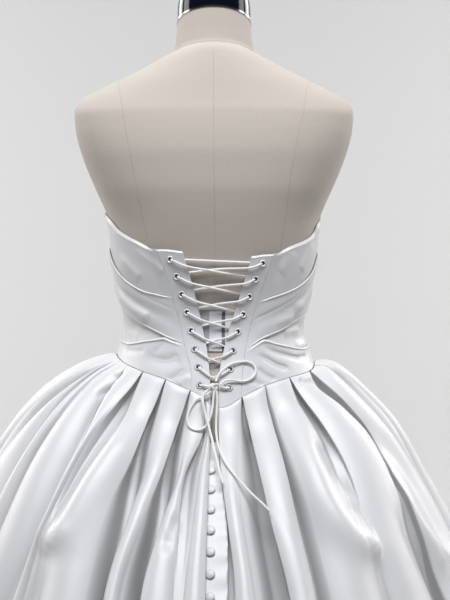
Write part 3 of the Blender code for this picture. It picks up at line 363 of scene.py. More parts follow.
END_LONG = (
    (-0.0040, 1.0368, 0.0066), (-0.0046, 1.0300, 0.0066), (-0.0044, 1.0200, 0.0066),
    (-0.0038, 1.0080, 0.0056), (-0.0034, 0.9960, 0.0046), (-0.0036, 0.9840, 0.0036),
    (-0.0058, 0.9700, 0.0030), (-0.0104, 0.9575, 0.0026), (-0.0175, 0.9455, 0.0026),
    (-0.0250, 0.9365, 0.0026), (-0.0330, 0.9277, 0.0026), (-0.0410, 0.9190, 0.0026),
    (-0.0493, 0.9112, 0.0026), (-0.0580, 0.9036, 0.0026), (-0.0668, 0.8950, 0.0026),
)
END_SHORT = (
    (0.0066, 1.0384, 0.0072), (0.0114, 1.0345, 0.0090), (0.0134, 1.0275, 0.0096),
    (0.0128, 1.0190, 0.0090), (0.0108, 1.0100, 0.0080), (0.0086, 1.0010, 0.0076),
    (0.0066, 0.9935, 0.0076), (0.0046, 0.9860, 0.0070), (0.0020, 0.9770, 0.0056),
    (0.0000, 0.9690, 0.0042), (-0.0020, 0.9610, 0.0036), (-0.0045, 0.9520, 0.0030),
    (-0.0066, 0.9440, 0.0026), (-0.0092, 0.9350, 0.0026), (-0.0122, 0.9256, 0.0026),
)

# ---------------------------------------------------------------- sizes of the make
SEAM_GAP = 0.0004          # between two pieces that meet in a seam
LACING_SEAM = 0.0001       # the pressed seam beside a lacing panel,
LACING_STEP = 0.0003       # and how much lower the bodice lies there than the panel
BODICE_OUT = 0.0062        # outer faces, from the form
BAND_OUT = 0.0080
LACING_OUT = 0.0085
SKIRT_OUT = 0.0085
STAY_OUT = 0.0018
LACING_CLOTH = 0.0020      # thickness of a lacing panel
PANEL_EDGE = 0.0007        # the rounding of its rim, and of the skirt's
SKIRT_EDGE = 0.0004
STAY_CLOTH = 0.0009
STAY_WRAPS = (56.0, 124.0)
STAY_HEIGHTS = (1.0858, 1.1356)
STAY_GRID = (136, 12)      # columns and rows
STAY_RIPPLE = 0.0002
PAINTED_SHADE_FROM_X = 0.0050       # the stay is painted grey from here to the left, as painted shade
HOOKS_X = (-0.0140, -0.0098)
FORM_CLEAR = 0.0022        # least distance of the skirt's outer face from the form
CLEAR_STEP = 0.0008        # by which it is moved out until it keeps that
LEVEL_ROWS = 3.0           # from the hem up, over which the pleats turn level
BAND_ROLLS = (0.0, 0.0020, 0.0002, 0.0014, 0.0)   # soft rolls, bottom edge to top
BASQUE_ROLLS = (-0.0003, 0.0001, 0.0005)
ROLL_SHARES = (0.0, 0.25, 0.5, 0.75, 1.0)
BASE_TALL = 0.17           # about how tall each piece is, for the width of its edges
BAND_TALL = 0.062
BASQUE_TALL = 0.036
LACING_TALL = 0.19

LACE_OVER = 0.0117         # a lace's centreline from the form, over an eyelet,
LACE_ON = 0.0110           # on the lacing panel,
LACE_UNDER = 0.0037        # under it,
LACE_THROUGH = 0.0073      # in an eyelet,
CROSSING = {"left": 0.0094, "right": 0.0056}   # and where it crosses the other one
LACE_RISE = 0.0014         # distances from an eyelet: where a lace is out of it,
LACE_CREST = 0.0046        # where it is over the rim,
LACE_TURN = 0.0024         # and, from below, where it turns up into it,
LACE_TURN_OUT = 0.0041     # a little nearer to the panel than on its way
# The first points of a lace that leaves an eyelet: distance, height out, drop.
LACE_START = ((LACE_RISE + 0.0010, LACE_ON + 0.0003, 0.0008),
              (LACE_CREST, LACE_OVER, 0.0014))
EDGE_PAST = 0.0002         # how far off a panel's edge a lace that crosses it lies
LONG_REACH = 0.012         # a way under a panel that is longer takes one more point
# How far a long lace hangs below a straight line: near, halfway and far.
LACE_DROPS = {"left": (0.0042, 0.0024, -0.0004), "right": (0.0036, -0.0008, -0.0022)}
LACE_LONG = 0.11           # the length that has these drops
BAR_SHARES = (0.14, 0.38, 0.62, 0.86)          # of the way between the top two eyelets
HOLE_DEPTH = 0.012
HOLE_CLEAR = 0.0003        # between an eyelet's tube and the hole in the cloth

BUTTON_PITCH = 0.029
DOME_FOOT = 0.28           # of a button's height, below its dome
BUTTON_X = 0.0032
BUTTON_TIP = radians(-12)
BUTTON_RAISE = 0.0007
FIRST_BUTTON_HEIGHT = 0.9473
PLACKET_DEPTH = 0.0060
PLACKET_LEFT_X = 0.0150
PLACKET_ROWS = (1.15, 6.7)
PLACKET_GRID = (14, 110)   # columns and steps down
# The strip's waves: a height, what more it is at the top and over how many steps that
# goes, and the turn of a wave at each step.
PLACKET_WAVE = (0.0006, 0.0012, 36, 0.85)
# The strip's own underlap: share of its reach, and how much deeper it lies.
UNDERLAP = ((0.0, 0.0006), (0.0, 0.0030), (0.12, 0.0062), (0.5, 0.0074), (1.0, 0.0078))
UNDERLAP_START = 0.0006    # from the strip's edge
UNDERLAP_REACH = 0.0145
UNDERLAP_ROWS = (2.6, 0.8)  # the row where it starts, and over how many it grows
CLOSED_ROW = 7             # from here down centre back is a plain seam
MID_HEIGHT = 1.15          # where the search for a height on the bodice starts

# Soft creases of the bodice: distance from centre back and height of its points,
# its half width, how far it stands out or sinks in, and how many times wider its
# lower slope is than its upper one.
Crease = namedtuple("Crease", "points width height fall", defaults=(1.0,))
UPPER_CREASES = (
    Crease(((0.1010, 1.2160), (0.0867, 1.2050), (0.0736, 1.1950), (0.0620, 1.1840)),
           0.0034, 0.0013, 2.2),
    Crease(((0.1240, 1.2080), (0.1130, 1.1970), (0.1040, 1.1880), (0.0920, 1.1780)),
           0.0055, 0.0016, 2.0),
    Crease(((-0.1290, 1.2240), (-0.1220, 1.2080), (-0.1115, 1.1870)), 0.0050, 0.0018, 1.6),
    Crease(((-0.1010, 1.2130), (-0.0940, 1.1990), (-0.0830, 1.1860)), 0.0060, 0.0012, 2.0),
    Crease(((0.0500, 1.0995), (0.0521, 1.1000), (0.0545, 1.1004)), 0.0016, -0.0030),
    Crease(((-0.0580, 1.0992), (-0.0605, 1.0996), (-0.0630, 1.1000)), 0.0016, -0.0030),
)
BAND_CREASES = (
    Crease(((0.1260, 1.1700), (0.1160, 1.1555), (0.1040, 1.1440), (0.0900, 1.1340),
            (0.0800, 1.1290)), 0.0048, 0.0034, 2.4),
    Crease(((-0.1000, 1.1380), (-0.1100, 1.1450), (-0.1190, 1.1560), (-0.1260, 1.1680)),
           0.0052, 0.0032, 2.2),
    Crease(((0.1271, 1.1903), (0.1168, 1.1810), (0.1053, 1.1698), (0.0941, 1.1605),
            (0.0793, 1.1511), (0.0652, 1.1447), (0.0514, 1.1383)), 0.0018, -0.0005),
    Crease(((-0.1251, 1.1810), (-0.1130, 1.1642), (-0.0998, 1.1511), (-0.0846, 1.1419),
            (-0.0707, 1.1345), (-0.0568, 1.1280), (-0.0503, 1.1244)), 0.0018, -0.0006),
    Crease(((-0.0790, 1.1200), (-0.0900, 1.1250), (-0.1000, 1.1270)), 0.0045, 0.0010, 1.6),
)
BELOW_CREASES = (
    Crease(((-0.0880, 1.1100), (-0.0990, 1.1120), (-0.1100, 1.1130)), 0.0042, 0.0020, 1.8),
    Crease(((-0.1041, 1.0935), (-0.1120, 1.0945), (-0.1190, 1.0965)), 0.0040, 0.0020, 1.8),
    Crease(((0.1190, 1.1130), (0.1080, 1.1080), (0.0960, 1.1040)), 0.0050, 0.0008, 1.8),
)
BASQUE_CREASES = (
    Crease(((0.0900, 1.0815), (0.0760, 1.0765), (0.0651, 1.0733), (0.0545, 1.0745),
            (0.0430, 1.0795)), 0.0070, -0.0020, 1.2),
    Crease(((0.0347, 1.0625), (0.0459, 1.0552), (0.0570, 1.0500)), 0.0042, -0.0014),
    Crease(((0.0295, 1.0566), (0.0370, 1.0515), (0.0440, 1.0463)), 0.0038, 0.0010, 1.4),
    Crease(((0.0600, 1.0985), (0.0684, 1.0897), (0.0760, 1.0835)), 0.0044, -0.0009),
    Crease(((0.1130, 1.0860), (0.1000, 1.0850), (0.0880, 1.0860)), 0.0045, -0.0010),
    Crease(((-0.0600, 1.0940), (-0.0762, 1.0846), (-0.0895, 1.0806), (-0.1080, 1.0760),
            (-0.1195, 1.0790)), 0.0040, -0.0023),
    Crease(((-0.0540, 1.0830), (-0.0700, 1.0736), (-0.0807, 1.0674), (-0.0950, 1.0635)),
           0.0038, -0.0026),
    Crease(((-0.0520, 1.0650), (-0.0590, 1.0605), (-0.0665, 1.0551), (-0.0790, 1.0500)),
           0.0034, -0.0020),
    Crease(((-0.0460, 1.0510), (-0.0530, 1.0478), (-0.0615, 1.0435)), 0.0030, -0.0013),
)

# Soft creases of the skirt: wrap and row of its points, half width, height.
LEFT_CREASES = (
    Crease(((78.6, 3.2), (78.7, 3.37), (78.8, 3.5)), 0.008, -0.005),
    Crease(((79.8, 2.9), (79.8, 3.07), (79.7, 3.2)), 0.006, -0.004),
    Crease(((55.0, 1.0), (57.0, 1.56), (56.8, 2.0), (55.6, 2.4), (54.4, 2.8), (52.9, 3.25),
            (51.3, 3.66), (49.9, 4.0), (49.3, 4.28)), 0.019, 0.0105, 1.3),
    Crease(((51.0, 3.72), (50.0, 3.98), (49.4, 4.22)), 0.015, 0.0040),
    Crease(((31.8, 0.62), (36.2, 0.53), (37.0, 0.32)), 0.004, -0.0018),
    Crease(((35.4, 1.21), (37.0, 1.03), (37.6, 0.84)), 0.004, -0.0026),
)
RIGHT_CREASES = (
    Crease(((128.0, 1.5), (126.2, 1.95), (124.2, 2.5), (123.7, 3.0), (125.4, 3.45),
            (128.0, 3.82), (131.0, 4.09), (134.0, 4.24), (136.4, 4.32)), 0.018, 0.0105, 1.3),
    Crease(((129.6, 3.98), (132.4, 4.17), (135.2, 4.28)), 0.014, 0.0030),
    Crease(((130.6, 2.1), (131.0, 2.5), (131.8, 2.95)), 0.012, -0.0050),
    Crease(((131.3, 3.20), (132.9, 3.42), (134.8, 3.54)), 0.0075, 0.0028, 1.5),
    Crease(((130.9, 3.62), (132.2, 3.74), (134.3, 3.78)), 0.0070, 0.0026, 1.5),
    Crease(((156.5, 2.4), (157.3, 3.0), (159.3, 3.5), (161.1, 4.0), (161.2, 4.5),
            (160.5, 5.2)), 0.020, -0.009),
    Crease(((151.8, 3.5), (151.2, 4.0), (151.6, 4.5), (153.6, 4.9), (156.0, 5.05)),
           0.014, 0.0115, 1.3),
    Crease(((137.9, 0.22), (141.3, 0.56), (146.9, 0.69)), 0.004, -0.004),
    Crease(((107.2, 2.85), (109.8, 3.08), (112.8, 3.46), (114.1, 3.6)), 0.004, -0.0008),
)
FRONT_CREASES = (
    Crease(((222, 0.5), (221, 1.4), (218, 2.6)), 0.007, -0.006),
    Crease(((239, 2.4), (238, 3.2), (236, 3.9), (232, 4.1)), 0.013, 0.006),
    Crease(((254, 0.8), (254, 1.6), (252, 2.3)), 0.006, -0.004),
    Crease(((286, 0.6), (287, 1.5), (288, 2.5)), 0.007, -0.005),
    Crease(((304, 2.6), (305, 3.4), (309, 4.1), (312, 4.1)), 0.013, 0.006),
    Crease(((337, 1.2), (338, 2.2), (341, 3.2)), 0.007, -0.005),
)

SEAM_STEP = 0.003          # between the points of a seam of the form
# Seams of the form: distance from centre back and height of their points.
FORM_SEAMS = (
    ((0.0002, 1.4640), (0.0002, 1.440), (0.0, 1.400), (-0.0004, 1.350), (-0.001, 1.300),
     (-0.0014, 1.250), (-0.0016, 1.200), (-0.0016, 1.137)),
    ((-0.0012, 1.0845), (-0.0006, 1.050), (0.0, 1.020)),
    ((0.1220, 1.4300), (0.1200, 1.4180), (0.1140, 1.3850), (0.1105, 1.3650),
     (0.0995, 1.3080), (0.0945, 1.2795), (0.0860, 1.2400), (0.0790, 1.2050)),
    ((-0.1220, 1.4300), (-0.1178, 1.4180), (-0.1135, 1.3870), (-0.1085, 1.3690),
     (-0.0968, 1.3085), (-0.0905, 1.2560), (-0.0850, 1.2200), (-0.0800, 1.1950)),
)


def sizes():
    return bpy.context.scene.gown_sizes


def colours():
    return bpy.context.scene.gown_colours


# ---------------------------------------------------------------- curves
def blend(low, high, share):
    return low + (high - low) * share


def smooth_value(before, low, high, after, share):
    """A smooth curve through four evenly spaced values, between the middle two."""
    return 0.5 * (2 * low + (high - before) * share
                  + (2 * before - 5 * low + 4 * high - after) * share ** 2
                  + (3 * low - before - 3 * high + after) * share ** 3)


def smooth_line(points, steps):
    """Points close together along a smooth curve through a few."""
    last = len(points) - 1
    line = []
    for i in range(last):
        around = [points[min(max(i + k, 0), last)] for k in (-1, 0, 1, 2)]
        line += [smooth_value(*around, step / steps) for step in range(steps)]
    return line + [points[-1]]


def clamp(share):
    return min(max(share, 0.0), 1.0)


def ease(share):
    """A share that starts and ends softly."""
    return share * share * (3 - 2 * share)


def along_table(rows, key, value, at):
    """Read a column of a table at a place between its rows, along smooth slopes."""
    places = [getattr(row, key) for row in rows]
    values = [getattr(row, value) for row in rows]
    return along(places, values, at)


def along(places, values, at):
    """A smooth curve through the values, level wherever the table is level."""
    at = min(max(at, places[0]), places[-1])
    last = len(places) - 2
    step = next((i for i in range(last + 1) if at <= places[i + 1]), last)
    width = places[step + 1] - places[step]
    share = (at - places[step]) / width

    def step_slope(i):
        return (values[i + 1] - values[i]) / (places[i + 1] - places[i])

    def slope(i):
        if i in (0, last + 1):
            return step_slope(min(i, last))
        if not step_slope(i - 1) * step_slope(i):
            return 0.0
        return (values[i + 1] - values[i - 1]) / (places[i + 1] - places[i - 1])

    start, end = slope(step) * width, slope(step + 1) * width
    rise = values[step + 1] - values[step]
    return (values[step] + start * share + (3 * rise - 2 * start - end) * share ** 2
            + (start + end - 2 * rise) * share ** 3)


@lru_cache(None)
def edge_height(edge, wrap):
    return along_table(edge, "wrap", "height", wrap)


def power(value, exponent):
    return copysign(abs(value) ** exponent, value)


# ---------------------------------------------------------------- the figure
def bust(x, height):
    """How far the front stands out over the two cups."""
    rise = exp(-((height - BUST_HEIGHT) / BUST_SPREAD_Z) ** 2)
    return BUST_OUT * rise * sum(exp(-((x - side) / BUST_SPREAD_X) ** 2)
                                 for side in (-BUST_X, BUST_X))


def section_point(section, wrap, out=0.0):
    """A point on a rounded section, which may be tilted up towards the back."""
    turn = radians(wrap)
    across, deep = cos(turn), sin(turn)
    depth = section.back if deep >= 0 else section.front
    x = (section.half_width + out) * power(across, 2 / section.roundness)
    y = (depth + out) * power(deep, 2 / section.roundness)
    if deep < 0:
        y -= bust(x, section.height) * abs(deep)
    return Vector((x, y, section.height + section.tilt * y))


@lru_cache(None)
def section_step(step):
    height = step / 2000
    values = [along_table(BODY_SECTIONS, "height", column, height)
              for column in ("half_width", "back", "front", "roundness")]
    return Section(height, *values, 0.0)


def body_section(height):
    """The form's section at a height, read between steps of half a millimetre."""
    low = int(height * 2000)
    share = height * 2000 - low
    return Section(*[blend(a, b, share)
                     for a, b in zip(section_step(low), section_step(low + 1))])


def body_point(wrap, height, out):
    """A point a distance out from the form, up to the shoulders."""
    return section_point(body_section(height), wrap, out)


def section_wrap(section, x, out):
    """The wrap of a point on a section's back, from its distance from the middle."""
    share = min(abs(x) / (section.half_width + out), 1.0)
    wrap = degrees(acos(share ** (section.roundness / 2)))
    return wrap if x >= 0 else 180 - wrap


def back_wrap(x, height, out):
    return section_wrap(body_section(height), x, out)


def back_point(x, height, out):
    return body_point(back_wrap(x, height, out), height, out)


# ---------------------------------------------------------------- finishes
def add_node(tree, kind, settings=(), links=()):
    """Add a node, set its sockets or properties, and link others' outputs to it."""
    node = tree.nodes.new(kind)
    for key, value in dict(settings).items():
        if isinstance(key, int) or key in node.inputs:
            node.inputs[key].default_value = value
        else:
            setattr(node, key, value)
    for key, source in dict(links).items():
        tree.links.new(source, node.inputs[key])
    return node


def finish_base(name, colour, roughness, **settings):
    """A Principled finish; returns the material, its tree and its shader."""
    material = bpy.data.materials.new(name)
    material.use_nodes = True
    shader = material.node_tree.nodes["Principled BSDF"]
    shader.inputs["Base Color"].default_value = (*colour, 1)
    shader.inputs["Roughness"].default_value = roughness
    for key, value in settings.items():
        shader.inputs[key.replace("_", " ")].default_value = value
    return material, material.node_tree, shader


def shade(colour, factor):
    return (*[c * factor for c in colour], 1)


PAINTED_SHADE_REACH = 0.06        # how far apart two faces of satin still get painted shade between them


@lru_cache(None)
def duchess_satin():
    """Heavy satin weave: long floats give a broad soft shine and no visible thread;
    a slight unevenness of the warp keeps it from looking moulded. Its base colour is
    painted darker where other satin lies close, as painted shade in hollows and folds."""
    material, tree, shader = finish_base("duchess_satin", colours().satin, 0.42,
                                         Specular_IOR_Level=0.85)
    place = add_node(tree, "ShaderNodeUVMap", {"uv_map": "cloth"}).outputs["UV"]
    warp = add_node(tree, "ShaderNodeMapping", {"Scale": (900, 60, 1)}, {"Vector": place})
    slub = add_node(tree, "ShaderNodeTexNoise", {"Scale": 1.0, "Detail": 2.0},
                    {"Vector": warp.outputs["Vector"]})
    soft = add_node(tree, "ShaderNodeTexNoise", {"Scale": 22.0, "Detail": 2.0},
                    {"Vector": place})
    fine = add_node(tree, "ShaderNodeBump", {"Strength": 0.06, "Distance": 0.0003},
                    {"Height": slub.outputs["Fac"]})
    bump = add_node(tree, "ShaderNodeBump", {"Strength": 0.10, "Distance": 0.004},
                    {"Height": soft.outputs["Fac"], "Normal": fine.outputs["Normal"]})
    tree.links.new(bump.outputs["Normal"], shader.inputs["Normal"])
    tone = add_node(tree, "ShaderNodeMapRange",
                    {"From Min": 0.3, "From Max": 0.7, "To Min": 0.39, "To Max": 0.45},
                    {"Value": soft.outputs["Fac"]})
    tree.links.new(tone.outputs["Result"], shader.inputs["Roughness"])
    # Painted shade: the satin's base colour is darkened where other faces are near.
    deep = add_node(tree, "ShaderNodeAmbientOcclusion",
                    {"Distance": PAINTED_SHADE_REACH, "samples": 8, "only_local": True})
    painted_hollow_shade = add_node(tree, "ShaderNodeMapRange",
                    {"From Min": 0.25, "From Max": 1.0, "To Min": 0.64, "To Max": 1.0},
                    {"Value": deep.outputs["AO"]})
    white = add_node(tree, "ShaderNodeHueSaturation", {"Color": (*colours().satin, 1)},
                     {"Value": painted_hollow_shade.outputs["Result"]})
    tree.links.new(white.outputs["Color"], shader.inputs["Base Color"])
    return material


@lru_cache(None)
def satin_cord():
    """Rattail cord: satin woven round a core, smooth with a soft shine."""
    material, tree, shader = finish_base("satin_cord", colours().lace, 0.38,
                                         Sheen_Weight=0.15)
    place = add_node(tree, "ShaderNodeTexCoord").outputs["Object"]
    rib = add_node(tree, "ShaderNodeTexNoise", {"Scale": 700.0, "Detail": 1.0},
                   {"Vector": place})
    bump = add_node(tree, "ShaderNodeBump", {"Strength": 0.12, "Distance": 0.0002},
                    {"Height": rib.outputs["Fac"]})
    tree.links.new(bump.outputs["Normal"], shader.inputs["Normal"])
    return material


@lru_cache(None)
def linen_cover():
    """Plain-woven natural linen, stretched and pressed: matt, with slubbed threads
    drawn 1.4 mm apart, about twice the real pitch, so that they show."""
    material, tree, shader = finish_base("linen_cover", colours().linen, 0.88,
                                         Sheen_Weight=0.15, Specular_IOR_Level=0.25)
    place = add_node(tree, "ShaderNodeTexCoord").outputs["Object"]
    heights = []
    for scale in ((700.0, 700.0, 60.0), (60.0, 60.0, 700.0)):
        spread = add_node(tree, "ShaderNodeMapping", {"Scale": scale}, {"Vector": place})
        heights.append(add_node(tree, "ShaderNodeTexNoise", {"Scale": 1.0, "Detail": 3.0},
                                {"Vector": spread.outputs["Vector"]}).outputs["Fac"])
    weave = add_node(tree, "ShaderNodeMath", {"operation": "ADD"},
                     {0: heights[0], 1: heights[1]})
    dust = add_node(tree, "ShaderNodeTexNoise", {"Scale": 9.0, "Detail": 4.0},
                    {"Vector": place})
    mixed = add_node(tree, "ShaderNodeMath", {"operation": "MULTIPLY_ADD", 1: 0.35},
                     {0: dust.outputs["Fac"], 2: weave.outputs["Value"]})
    ramp = add_node(tree, "ShaderNodeValToRGB", {}, {"Fac": mixed.outputs["Value"]})
    for end, position, factor in zip(ramp.color_ramp.elements, (0.75, 1.45), (0.90, 1.08)):
        end.position = position
        end.color = shade(colours().linen, factor)
    tree.links.new(ramp.outputs["Color"], shader.inputs["Base Color"])
    bump = add_node(tree, "ShaderNodeBump", {"Strength": 0.14, "Distance": 0.0003},
                    {"Height": weave.outputs["Value"]})
    tree.links.new(bump.outputs["Normal"], shader.inputs["Normal"])
    return material


@lru_cache(None)
def seam_thread():
    """The shadowed ridge where two pieces of linen meet."""
    return finish_base("seam_thread", colours().seam, 0.9, Specular_IOR_Level=0.2)[0]


def spotted(name, colour, roughness, scale, spread, **settings):
    """A hard finish whose polish varies a little from place to place."""
    material, tree, shader = finish_base(name, colour, roughness, **settings)
    place = add_node(tree, "ShaderNodeTexCoord").outputs["Object"]
    cloud = add_node(tree, "ShaderNodeTexNoise", {"Scale": scale, "Detail": 4.0},
                     {"Vector": place})
    tone = add_node(tree, "ShaderNodeMapRange",
                    {"To Min": max(roughness - spread, 0.02), "To Max": roughness + spread},
                    {"Value": cloud.outputs["Fac"]})
    tree.links.new(tone.outputs["Result"], shader.inputs["Roughness"])
    return material


@lru_cache(None)
def navy_lacquer():
    """Sprayed lacquer on turned wood: deep and wet-looking."""
    return spotted("navy_lacquer", colours().lacquer, 0.12, 30.0, 0.04, Coat_Weight=0.6,
                   Coat_Roughness=0.05)


@lru_cache(None)
def polished_trim():
    """Polished nickel strip."""
    return spotted("polished_trim", colours().silver, 0.18, 60.0, 0.06, Metallic=1.0)


@lru_cache(None)
def white_enamel():
    """Enamelled brass: a smooth white skin with a small clear shine."""
    return spotted("white_enamel", colours().enamel, 0.30, 200.0, 0.05)


@lru_cache(None)
def eyelet_shade():
    """A near-black disc of painted shade across an eyelet's tube, so that the hole looks dark.
    """
    return spotted("dark_felt", linear("1A1A1C"), 0.9, 300.0, 0.05)


@lru_cache(None)
def pressed_satin():
    """A grey ring of painted shadow round an eyelet's rim, where the rim would shade the satin.
    """
    return spotted("pressed_satin", linear("A2A2A6"), 0.8, 400.0, 0.05)


@lru_cache(None)
def stand_paint():
    """Powder-coated steel: dark, with a low even shine."""
    return spotted("stand_paint", colours().steel, 0.45, 90.0, 0.08)


def woven_tape(name, colour):
    """Ribbed ribbon: ribs 1.2 mm apart run across it."""
    material, tree, shader = finish_base(name, colour, 0.7, Sheen_Weight=0.1)
    place = add_node(tree, "ShaderNodeUVMap", {"uv_map": "cloth"}).outputs["UV"]
    ribs = add_node(tree, "ShaderNodeTexWave",
                    {"Scale": 130.0, "Distortion": 0.6, "bands_direction": "X"},
                    {"Vector": place})
    bump = add_node(tree, "ShaderNodeBump", {"Strength": 0.3, "Distance": 0.0003},
                    {"Height": ribs.outputs["Fac"]})
    tree.links.new(bump.outputs["Normal"], shader.inputs["Normal"])
    return material


@lru_cache(None)
def studio_paper(name, colour):
    """Seamless paper: quite matt and even, and clear to an eye that is behind it."""
    material = spotted(name, colour, 0.95, 2.0, 0.02, Specular_IOR_Level=0.1)
    tree = material.node_tree
    side = add_node(tree, "ShaderNodeNewGeometry")
    clear = add_node(tree, "ShaderNodeBsdfTransparent")
    paper = add_node(tree, "ShaderNodeMixShader", {},
                     {0: side.outputs["Backfacing"],
                      1: tree.nodes["Principled BSDF"].outputs["BSDF"],
                      2: clear.outputs["BSDF"]})
    tree.links.new(paper.outputs["Shader"],
                   tree.nodes["Material Output"].inputs["Surface"])
    return material


# ---------------------------------------------------------------- making pieces
def add_object(name, data, *materials):
    """A new object in the scene, of the given materials."""
    made = bpy.data.objects.new(name, data)
    for material in materials:
        data.materials.append(material)
    bpy.context.scene.collection.objects.link(made)
    return made


def mesh_object(name, form, *materials):
    """An object of a bmesh, which is freed."""
    mesh = bpy.data.meshes.new(name)
    form.to_mesh(mesh)
    form.free()
    return add_object(name, mesh, *materials)


def cord_object(name, lines, radius, material, roundness=4):
    """Round cords along lines of points."""
    curve = bpy.data.curves.new(name, "CURVE")
    curve.dimensions = "3D"
    curve.bevel_depth = radius
    curve.bevel_resolution = roundness
    for line in lines:
        spline = curve.splines.new("POLY")
        spline.points.add(len(line) - 1)
        for point, place in zip(spline.points, line):
            point.co = (*place, 1)
    return add_object(name, curve, material)


def deselect():
    for chosen in list(bpy.context.selected_objects):
        chosen.select_set(False)


def make_active(made):
    deselect()
    made.select_set(True)
    bpy.context.view_layer.objects.active = made


def apply_modifiers(made):
    make_active(made)
    for modifier in list(made.modifiers):
        bpy.ops.object.modifier_apply(modifier=modifier.name)


def shade_round(made, angle):
    make_active(made)
    bpy.ops.object.shade_smooth_by_angle(angle=angle)


def belongs(made, slot_name, *nodes):
    """A finished piece rides on the gown and stands for its plain solids."""
    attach(made, "root")
    if nodes:
        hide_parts(*nodes)
    return made


def grid_mesh(name, grid, materials, column_slot=None):
    """A sheet of quads on a grid of points whose UV map is in metres of cloth."""
    rows, columns = len(grid), len(grid[0])
    across = [[0.0] * columns for _ in range(rows)]
    up = [[0.0] * columns for _ in range(rows)]
    for i in range(rows):
        for j in range(columns):
            if j:
                across[i][j] = across[i][j - 1] + (grid[i][j] - grid[i][j - 1]).length
            if i:
                up[i][j] = up[i - 1][j] + (grid[i][j] - grid[i - 1][j]).length
    form = bmesh.new()
    skin = [[form.verts.new(point) for point in row] for row in grid]
    layer = form.loops.layers.uv.new("cloth")
    for i in range(rows - 1):
        for j in range(columns - 1):
            corners = ((i, j), (i, j + 1), (i + 1, j + 1), (i + 1, j))
            face = form.faces.new([skin[a][b] for a, b in corners])
            for loop, (a, b) in zip(face.loops, corners):
                loop[layer].uv = (across[a][b], up[a][b])
            if column_slot:
                face.material_index = column_slot(j)
    return mesh_object(name, form, *materials)


RIM_ANGLE = radians(70)    # edges sharper than this are rounded
SMOOTH_CLOTH, SMOOTH_FORM = radians(60), radians(40)   # and flatter than these, smooth


def cloth_piece(name, grid, thickness, materials, slot_name, node, edge=0.0, **how):
    """A thin shell on a grid of its outer points, its rim rounded, as a piece."""
    made = grid_mesh(name, grid, materials, **how)
    skin = made.modifiers.new("thickness", "SOLIDIFY")
    skin.thickness = thickness
    skin.offset = -1
    if edge:
        rim = made.modifiers.new("rim", "BEVEL")
        rim.width = edge
        rim.segments = 2
        rim.limit_method = "ANGLE"
        rim.angle_limit = RIM_ANGLE
    apply_modifiers(made)
    shade_round(made, SMOOTH_CLOTH)
    return belongs(made, slot_name, node)


def satin_piece(name, grid, thickness, edge=0.0):
    return cloth_piece(name + "_cloth", grid, thickness, [duchess_satin()], "satin", name,
                       edge)


def flat_cut(made):
    """The area of a thin shell's cloth: half of its surface."""
    return sum(face.area for face in made.data.polygons) / 2


# ---------------------------------------------------------------- creases
class Creases:
    """The soft creases of one piece of cloth, ready to be measured from a point."""

    reach = 2.6                # half widths from its middle to where it is level
    starts, ends = 0.30, 0.14  # shares of its length over which it rises and runs out
    least = 0.15               # of its height that it has at its very ends

    def __init__(self, creases, place):
        self.lines = []
        for crease in creases:
            points = [Vector(point) for point in crease.points]
            line = [place(*point) for point in smooth_line(points, 6)]
            reach = self.reach * crease.width * crease.fall
            low = [min(p[k] for p in line) - reach for k in range(3)]
            high = [max(p[k] for p in line) + reach for k in range(3)]
            self.lines.append((crease, line, low, high))

    def height(self, point):
        """How far the creases move the cloth out at a point."""
        total = 0.0
        for crease, line, low, high in self.lines:
            if not all(low[k] < point[k] < high[k] for k in range(3)):
                continue
            nearest, at, below = 1.0, 0.0, False
            for i in range(len(line) - 1):
                way = line[i + 1] - line[i]
                share = clamp((point - line[i]).dot(way) / way.length_squared)
                off = point - line[i] - way * share
                if off.length < nearest:
                    nearest, at = off.length, (i + share) / (len(line) - 1)
                    below = off.z < 0
            width = crease.width * (crease.fall if below else 1.0)
            fade = ease(min(at / self.starts, (1 - at) / self.ends, 1.0))
            total += (crease.height * blend(self.least, 1.0, fade)
                      * exp(-(nearest / width) ** 2))
        return total


# ---------------------------------------------------------------- the bodice
def seam_turn(height, out):
    return degrees(SEAM_GAP / 2 / (body_section(height).half_width + out))


def lacing_x(column, height):
    distance = along_table(LACING_EDGES, "height", column, height)
    return distance if column.startswith("left") else -distance


def panel_wrap(side, share, height, out):
    """The wrap at a share of a panel's width: from the side seam on."""
    gap = seam_turn(height, out)
    if side == "front":
        return blend(180 + gap, 360 - gap, share)
    start = gap if side == "left" else 180 - gap
    edge = lacing_x(side + "_outer", height)
    edge += copysign(LACING_SEAM, edge)
    return blend(start, back_wrap(edge, height, out), share)


def table_wrap(wrap):
    return wrap - 360 if wrap > 270 else wrap


neckline = partial(edge_height, TOP_EDGE)
band_low = partial(edge_height, BAND_BOTTOM)
band_high = partial(edge_height, BAND_TOP)


def waist_line(wrap):
    return edge_height(WAIST_SEAM, wrap) + SEAM_GAP / 2


def basque_high(wrap):
    return min(edge_height(BASQUE_TOP, wrap), band_low(wrap) - 2 * SEAM_GAP)


# Distances from a piece's edge of the rows of its mesh there.
EDGE_STEPS = (0.0, 0.0002, 0.0005, 0.0009, 0.0013, 0.0018, 0.0023, 0.0029, 0.0035, 0.0042,
              0.0049, 0.0057)
# The neckline's rolled edge: how tall it is at the side and at the back, how deep it
# turns in on the bodice and on a lacing panel, and the lip below it.
ROLL_TALL = (0.0052, 0.0030)
ROLL_DEEP = (0.0026, 0.0022)
LIP_RISE, LIP_TALL = 0.0003, 0.0008
# A folded edge's bead and the turn at its very edge: how high, how far in, how wide.
BEAD = (0.0014, 0.0015, 0.0010)
TURN = (-0.0006, 0.0, 0.0004)
LOWER_BEAD = 0.6           # the share of a bead that the band's lower edge has
BACK_ROLLS = 0.45          # the share of the band's rolls that is lost at its back
NECK_SINK = (0.0018, 0.28)  # how deep the base sinks to its top, over what share of it
BACK_SHARE = 0.14          # of a back's width, over which it meets the lacing panel


